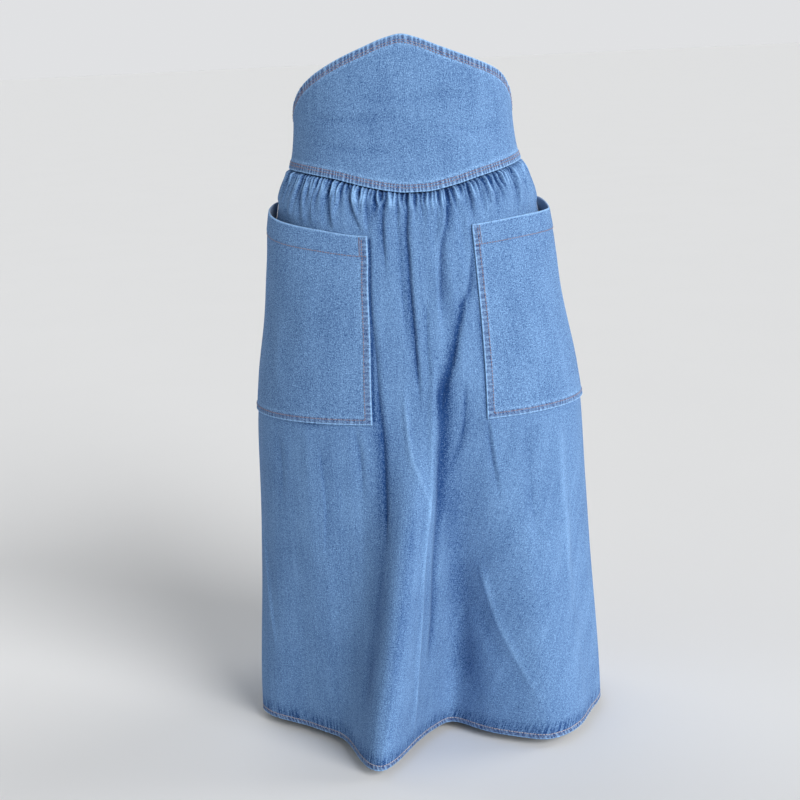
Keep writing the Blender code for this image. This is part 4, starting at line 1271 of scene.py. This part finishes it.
def pocket_shell(pocket, settings):
    across = ends_dense(POCKET_COLUMNS)[::pocket.side]
    across, down = np.meshgrid(across, ends_dense(POCKET_ROWS))
    face = pocket_face(pocket, across, down, settings)
    sewn_gap = np.minimum(face.front, face.bottom)
    free_gap = np.minimum(sewn_gap, face.mouth)
    inset = rounding(face.wall, np.minimum(free_gap, face.rear))
    outer = face.points - face.outward * inset
    inner = face.points - face.outward * ((face.relief + face.wall)[..., None] - inset)
    along = wobbled(face.along / POCKET_PERIOD)
    uv = metric_uv(face.points, POCKET_UV_ACROSS * pocket.side, 0.0)
    marks = {"edge_gap": free_gap, "band_gap": sewn_gap, "along": along, "relief": face.relief * POCKET_TONE}
    return shell(pocket.name + "_cloth", outer, inner, uv, marks)


class SKIRT_OT_pockets(bpy.types.Operator):
    """Builds the two patch pockets, open at the top"""

    bl_idname = "skirt.pockets"
    bl_label = "Patch Pockets"

    def execute(self, context):
        settings = context.scene.skirt_cloth
        material = denim("denim_pockets", settings, tint=0.20, speckle=1.25, Band=POCKET_STAIN, Ticks=0.16,
                         Edge=0.50, Ridge=0.36, Dark=0.07, Halo=0.14)
        for pocket in POCKETS:
            piece = adopt(pocket_shell(pocket, settings), material, "denim", pocket.name)
        return {"FINISHED"}


# ---- topstitching ----
THREAD_RINGS = 6
THREAD_SIDES = 6
THREAD_ENDS = 0.45  # share of its thickness that the thread keeps where it dives into the cloth
THREAD_RISE, THREAD_SINK = 1.15, 0.75  # in radii: from a stitch's ends out to its middle, and their depth
STITCH_START, STITCH_SPAN = 0.10, 0.93  # shares of the pitch
STITCH_DRIFT = 0.05  # of the pitch, to and fro
STITCH_SWAY = 0.10  # of the thread's thickness, to both sides
BACK_REACH = 3.4  # degrees from the centre back where the yoke's rows end
TACK_PERIOD = 0.0013  # of the close zigzag at each pocket's mouth
TACK_HALF = 0.00045
TACK_TURNS = 18.0
TACK_TOP = 0.0015  # below the mouth
TACK_END = 0.0220
EDGE_ROW_TOP = 0.004  # below the mouth, where the row down the front edge starts
ZIP_ROW = SLOT_HALF + 0.0058  # from the centre back
ZIP_ROW_LOW = ZIP_END - 0.012


def sewn(place, first, second, *pitch):
    """A row to sew on a face function of two arrays: its points, the directions out of it, and any pitch."""
    first, second = np.broadcast_arrays(first, second)
    points = place(first, second)
    step = 1e-4
    normal = unit(np.cross(place(first + 10.0 * step, second) - points, place(first, second + step) - points))
    outside = np.sign(np.sum(normal * points * (1.0, 1.0, 0.0), axis=-1, keepdims=True))
    return points, normal * outside, *pitch


def stitch_row(points, outward, settings, rng, pitch=None):
    """The points of one row of stitches that follows points on the cloth."""
    run = lengths_along(points, 0)
    count = max(int(run[-1] / (pitch or settings.length)), 1)
    pitch = run[-1] / count
    start = (np.arange(count) + STITCH_START) * pitch
    start = start + rng.uniform(-STITCH_DRIFT, STITCH_DRIFT, count) * pitch
    span = pitch * STITCH_SPAN * rng.uniform(0.92, 1.04, count)
    share = np.linspace(0.0, 1.0, THREAD_RINGS)
    at = start[:, None] + span[:, None] * share
    centre = np.stack([np.interp(at, run, points[:, k]) for k in range(3)], -1)
    normal = unit(np.stack([np.interp(at, run, outward[:, k]) for k in range(3)], -1))
    side = unit(np.cross(unit(np.gradient(centre, axis=1)), normal))
    sink = np.sin(math.pi * share)
    radius = settings.thread / 2
    centre = centre + normal * (radius * (THREAD_RISE * sink ** 0.6 - THREAD_SINK))[:, None]
    sway = rng.uniform(-STITCH_SWAY, STITCH_SWAY, count)[:, None] * settings.thread
    centre = centre + side * sway[..., None]
    thick = radius * between(THREAD_ENDS, 1.0, sink ** 0.5)
    turn = np.arange(THREAD_SIDES)[:, None] * 2.0 * math.pi / THREAD_SIDES
    ring = side[:, :, None] * np.cos(turn) + normal[:, :, None] * np.sin(turn)
    return centre[:, :, None] + ring * thick[:, None, None]


def threads(name, rows, material, slot_name, settings, seed):
    """One piece from several rows of stitches, each a row from the sewn function."""
    rng = np.random.default_rng(seed)
    bodies = [stitch_row(points, outward, settings, rng, *pitch) for points, outward, *pitch in rows]
    bodies = np.concatenate(bodies)
    made = mesh_object(name, bodies.reshape(-1, 3), tube_faces(*bodies.shape[:3]))
    return adopt(made, material, slot_name)


class SKIRT_OT_topstitching(bpy.types.Operator):
    """Sews the rows of topstitching on the yoke, pockets, hem and zip"""

    bl_idname = "skirt.topstitching"
    bl_label = "Topstitching"

    def execute(self, context):
        cloth = context.scene.skirt_cloth
        stitch = context.scene.skirt_stitch
        rust = thread_material("rust_thread", stitch.rust)
        pale = thread_material("pale_thread", stitch.pale)
        threads("yoke_stitching", self.yoke_rows(cloth), rust, "topstitch", stitch, 3)
        threads("hem_stitching", self.hem_rows(cloth), pale, "hem_stitch", stitch, 5)
        for pocket in POCKETS:
            threads(pocket.name + "_stitching", self.pocket_rows(pocket, cloth), rust, "topstitch", stitch, 7)
        threads("zip_stitching", self.zip_rows(cloth), rust, "topstitch", stitch, 9)
        return {"FINISHED"}

    def yoke_rows(self, cloth):
        angle = np.linspace(BACK_REACH - 180.0, 180.0 - BACK_REACH, 3000)
        heights = [yoke_top(angle) - below for below in YOKE_TOP_ROWS]
        heights += [seam_height(angle) + above for above in YOKE_LOW_ROWS]
        return [sewn(lambda *at: yoke_face(*at, cloth)[0], angle, height) for height in heights]

    def hem_rows(self, cloth):
        angle = np.linspace(-179.8, 179.8, 6000)
        height = np.full(angle.shape, HEM_HEIGHT + HEM_STITCH)
        points, outward, *_ = skirt_face(angle, height)
        return [(points + outward * hem_wave(angle, height - HEM_HEIGHT, cloth)[..., None], outward)]

    def pocket_rows(self, pocket, cloth):
        """Rows below the mouth, down the front edge and along the bottom, and a tack at the corner."""
        def place(across, down):
            return pocket_face(pocket, across, down, cloth).points

        share = np.linspace(0.0, 1.0, 900)
        wide = float(pocket_face(pocket, np.array([1.0]), np.array([0.5]), cloth).front[0])
        tall = pocket.mouth[0].height - POCKET_BOTTOM
        inset = POCKET_EDGE_STITCH / wide
        top = EDGE_ROW_TOP / tall
        bottom = 1.0 - POCKET_EDGE_STITCH / tall
        sway = TACK_HALF * (2.0 * np.abs((share * TACK_TURNS) % 2.0 - 1.0) - 1.0)
        return [
            sewn(place, between(inset * 0.2, 1.0, share), POCKET_HEM_STITCH / tall),
            sewn(place, inset, between(top, bottom, share)),
            sewn(place, between(inset, 1.0, share), bottom),
            sewn(place, 1.42 * inset + sway / wide, between(TACK_TOP, TACK_END, share) / tall, TACK_PERIOD),
        ]

    def zip_rows(self, cloth):
        """A row beside each edge of the zip's opening, and one across below its end."""
        def place(angle, height):
            above = (height > seam_height(angle))[..., None]
            return np.where(above, yoke_face(angle, height, cloth)[0], skirt_face(angle, height)[0])

        height = np.linspace(0.006, ZIP_ROW_LOW, 900)
        across = np.linspace(-ZIP_ROW, ZIP_ROW, 120)
        made = [sewn(place, side * back_angle(ZIP_ROW, height), height) for side in (-1.0, 1.0)]
        return made + [sewn(place, back_angle(across, ZIP_ROW_LOW), ZIP_ROW_LOW)]


# ---- zip ----
TAPE_OUT = -0.0018  # the tape's face, from the cloth's outer face
CHAIN_PROUD = 0.0011
CHAIN_SPREAD = 0.00143  # from the centre line to each half of the chain, above the slider
SLIDER_HEIGHT = -0.0060
SLIDER_LENGTH = 0.0095
CHAIN_TOP = 0.0022
STOP_GAP = 0.002
STOP_LOW = 0.0014  # above the zip's end
TOOTH = ((-0.0006, 0.00026), (0.0003, 0.00056), (0.0022, 0.00062))  # from nose to root, and half its height
STOP = ((0.0, 0.0011), (0.0011, 0.0012), (0.0022, 0.0011))
TOOTH_RINGS = (  # how far out the foot, shoulder and front of a tooth stand, and their size
    (TAPE_OUT + 0.0002, 1.0),
    (TAPE_OUT + CHAIN_PROUD + 0.0001, 1.0),
    (TAPE_OUT + CHAIN_PROUD + 0.00025, 0.72),
)


def back_point(across, height, out):
    """Points beside the centre back line, moved out from the cloth's outer face."""
    base, outward = oval(back_angle(across, height), height)
    return np.stack([across, base[..., 1] + outward[..., 1] * out, height], -1)


def zip_tooth(outline, side, height):
    """The three rings of one tooth or stop: its foot on the tape, its shoulder and its smaller front."""
    low = SLIDER_HEIGHT - SLIDER_LENGTH / 2
    apart = CHAIN_SPREAD * rising(height, low, SLIDER_LENGTH / 2)
    half = np.array(outline)
    ring = np.concatenate([half, half[::-1] * (1.0, -1.0)])[::-side]
    middle = ring.mean(axis=0)
    rings = []
    for out, size in TOOTH_RINGS:
        flat = middle + (ring - middle) * size
        rings.append(back_point(side * (flat[:, 0] + apart), height + flat[:, 1], out))
    return rings


def zip_teeth(settings, brass):
    """Laced teeth down both halves of the chain, with stops at both ends."""
    count = int((CHAIN_TOP - ZIP_END) / settings.pitch)
    pieces = []
    for side, start in ((1, 0.0), (-1, settings.pitch / 2.0)):
        top = CHAIN_TOP - STOP_GAP - start
        pieces += [zip_tooth(TOOTH, side, top - i * settings.pitch) for i in range(count)]
        pieces += [zip_tooth(STOP, side, CHAIN_TOP), zip_tooth(STOP, side, ZIP_END + STOP_LOW)]
    pieces = np.array(pieces)
    made = mesh_object("zip_teeth", pieces.reshape(-1, 3), tube_faces(*pieces.shape[:3]))
    made.data.shade_flat()
    return adopt(made, brass, "zip_metal")


class SKIRT_OT_zip(bpy.types.Operator):
    """Builds the zip's teeth, and finishes its tapes, slider and pull"""

    bl_idname = "skirt.zip"
    bl_label = "Back Zip"

    def execute(self, context):
        settings = context.scene.skirt_zip
        brass, tape = brass_material(settings), tape_material(settings)
        finishes = {"zip_slider": brass, "zip_pull": brass, "zip_tape_left": tape, "zip_tape_right": tape}
        for name, material in finishes.items():
            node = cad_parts[name]
            node.data.materials.clear()
            node.data.materials.append(material)
        zip_teeth(settings, brass)
        return {"FINISHED"}


# ---- stage ----
FLOOR_RADIUS = 90.0
FLOOR_CLEAR = 0.010  # the hem hangs this far above the floor
LIGHTS = table(  # degrees round from the front towards the right, degrees up, and how soft each one is
    "Light", "name azimuth height spread colour",
    ("key", 36.0, 24.0, 34.0, (1.0, 1.0, 1.0)),
    ("side", 108.0, 16.0, 50.0, (1.0, 1.0, 1.0)),
    ("fill", -50.0, 20.0, 70.0, (0.80, 0.92, 1.0)),
    ("back", 205.0, 35.0, 60.0, (1.0, 1.0, 1.0)),
)
STUDIO_TINT = (0.97, 0.98, 1.0)
EYE_LEVEL, OVERHEAD = 0.10, 0.42  # how far up a direction points where the room starts and stops dimming
CAMERA_ACROSS = -0.019
CAMERA_HEIGHT = 0.084
CAMERA_PITCH = -12.0
CAMERA_ROLL = 2.7


class SKIRT_OT_stage(bpy.types.Operator):
    """Sets the floor, soft studio lights and camera"""

    bl_idname = "skirt.stage"
    bl_label = "Stage"

    def execute(self, context):
        settings = context.scene.skirt_stage
        self.floor(settings)
        for light in LIGHTS:
            self.soft_sun(context, light, getattr(settings, light.name))
        self.world(context, settings)
        self.camera(context, settings)
        context.scene.view_settings.view_transform = "Standard"
        return {"FINISHED"}

    def floor(self, settings):
        turn = np.linspace(0.0, 2.0 * math.pi, 97)[:-1]
        level = np.full(turn.shape, HEM_HEIGHT - FLOOR_CLEAR)
        points = np.stack([FLOOR_RADIUS * np.cos(turn), FLOOR_RADIUS * np.sin(turn), level], -1)
        made = mesh_object("studio_floor", points, [range(len(turn))])
        material, nodes, shader = new_material("floor_paint")
        mottle = nodes.noise(nodes.place(), (3.0,) * 3)
        tone = nodes.mix(mottle, settings.floor, shaded(settings.floor, 1.02))
        nodes.put(shader, {"Base Color": tone, "Roughness": 1.0, "Specular IOR Level": 0.0})
        made.data.materials.append(material)

    def soft_sun(self, context, light, strength):
        data = bpy.data.lights.new(light.name + "_light", "SUN")
        data.energy = strength
        data.color = light.colour
        data.angle = math.radians(light.spread)
        made = bpy.data.objects.new(data.name, data)
        made.rotation_euler = (math.radians(90.0 - light.height), 0.0, math.radians(light.azimuth))
        context.scene.collection.objects.link(made)

    def world(self, context, settings):
        """A pale room: bright at eye level and quieter overhead."""
        made = bpy.data.worlds.new("studio")
        made.use_nodes = True
        nodes = Nodes(made.node_tree)
        upward = nodes.part(nodes.place("Generated"), 2)
        strength = nodes.fit(upward, EYE_LEVEL, OVERHEAD, settings.horizon, settings.zenith)
        nodes.put(made.node_tree.nodes["Background"], {"Color": STUDIO_TINT, "Strength": strength})
        context.scene.world = made

    def camera(self, context, settings):
        data = bpy.data.cameras.new("camera")
        data.lens = settings.lens
        data.sensor_width = 36.0
        made = bpy.data.objects.new("camera", data)
        context.scene.collection.objects.link(made)
        pitched = Matrix.Rotation(math.radians(90.0 + CAMERA_PITCH), 4, "X")
        rolled = Matrix.Rotation(math.radians(-CAMERA_ROLL), 4, "Z")
        spot = Matrix.Translation((CAMERA_ACROSS, -settings.distance, CAMERA_HEIGHT))
        made.matrix_world = spot @ pitched @ rolled
        context.scene.camera = made


class SKIRT_PT_sidebar(bpy.types.Panel):
    """Lists the steps that build the skirt, and their settings"""

    bl_idname = "SKIRT_PT_sidebar"
    bl_label = "Denim Skirt"
    bl_space_type = "VIEW_3D"
    bl_region_type = "UI"
    bl_category = "Denim Skirt"

    def draw(self, context):
        for step in STEPS:
            self.layout.operator(step.bl_idname)
        for name in SETTINGS:
            group = getattr(context.scene, name)
            box = self.layout.box()
            for key in group.bl_rna.properties.keys():
                if key not in ("rna_type", "name"):
                    box.prop(group, key)


STEPS = (
    SKIRT_OT_panels, SKIRT_OT_yoke, SKIRT_OT_pockets, SKIRT_OT_topstitching, SKIRT_OT_zip, SKIRT_OT_stage,
)
SETTINGS = {
    "skirt_cloth": ClothSettings,
    "skirt_stitch": StitchSettings,
    "skirt_zip": ZipSettings,
    "skirt_stage": StageSettings,
}


def register():
    for made in (*SETTINGS.values(), *STEPS, SKIRT_PT_sidebar):
        bpy.utils.register_class(made)
    for name, kind in SETTINGS.items():
        setattr(bpy.types.Scene, name, PointerProperty(type=kind))


def unregister():
    for name in SETTINGS:
        delattr(bpy.types.Scene, name)
    for made in (SKIRT_PT_sidebar, *reversed(STEPS), *SETTINGS.values()):
        bpy.utils.unregister_class(made)


def main():
    register()
    bpy.ops.skirt.panels()
    bpy.ops.skirt.yoke()
    bpy.ops.skirt.pockets()
    bpy.ops.skirt.topstitching()
    bpy.ops.skirt.zip()
    bpy.ops.skirt.stage()
    bpy.context.view_layer.update()


if __name__ == "__main__":
    main()
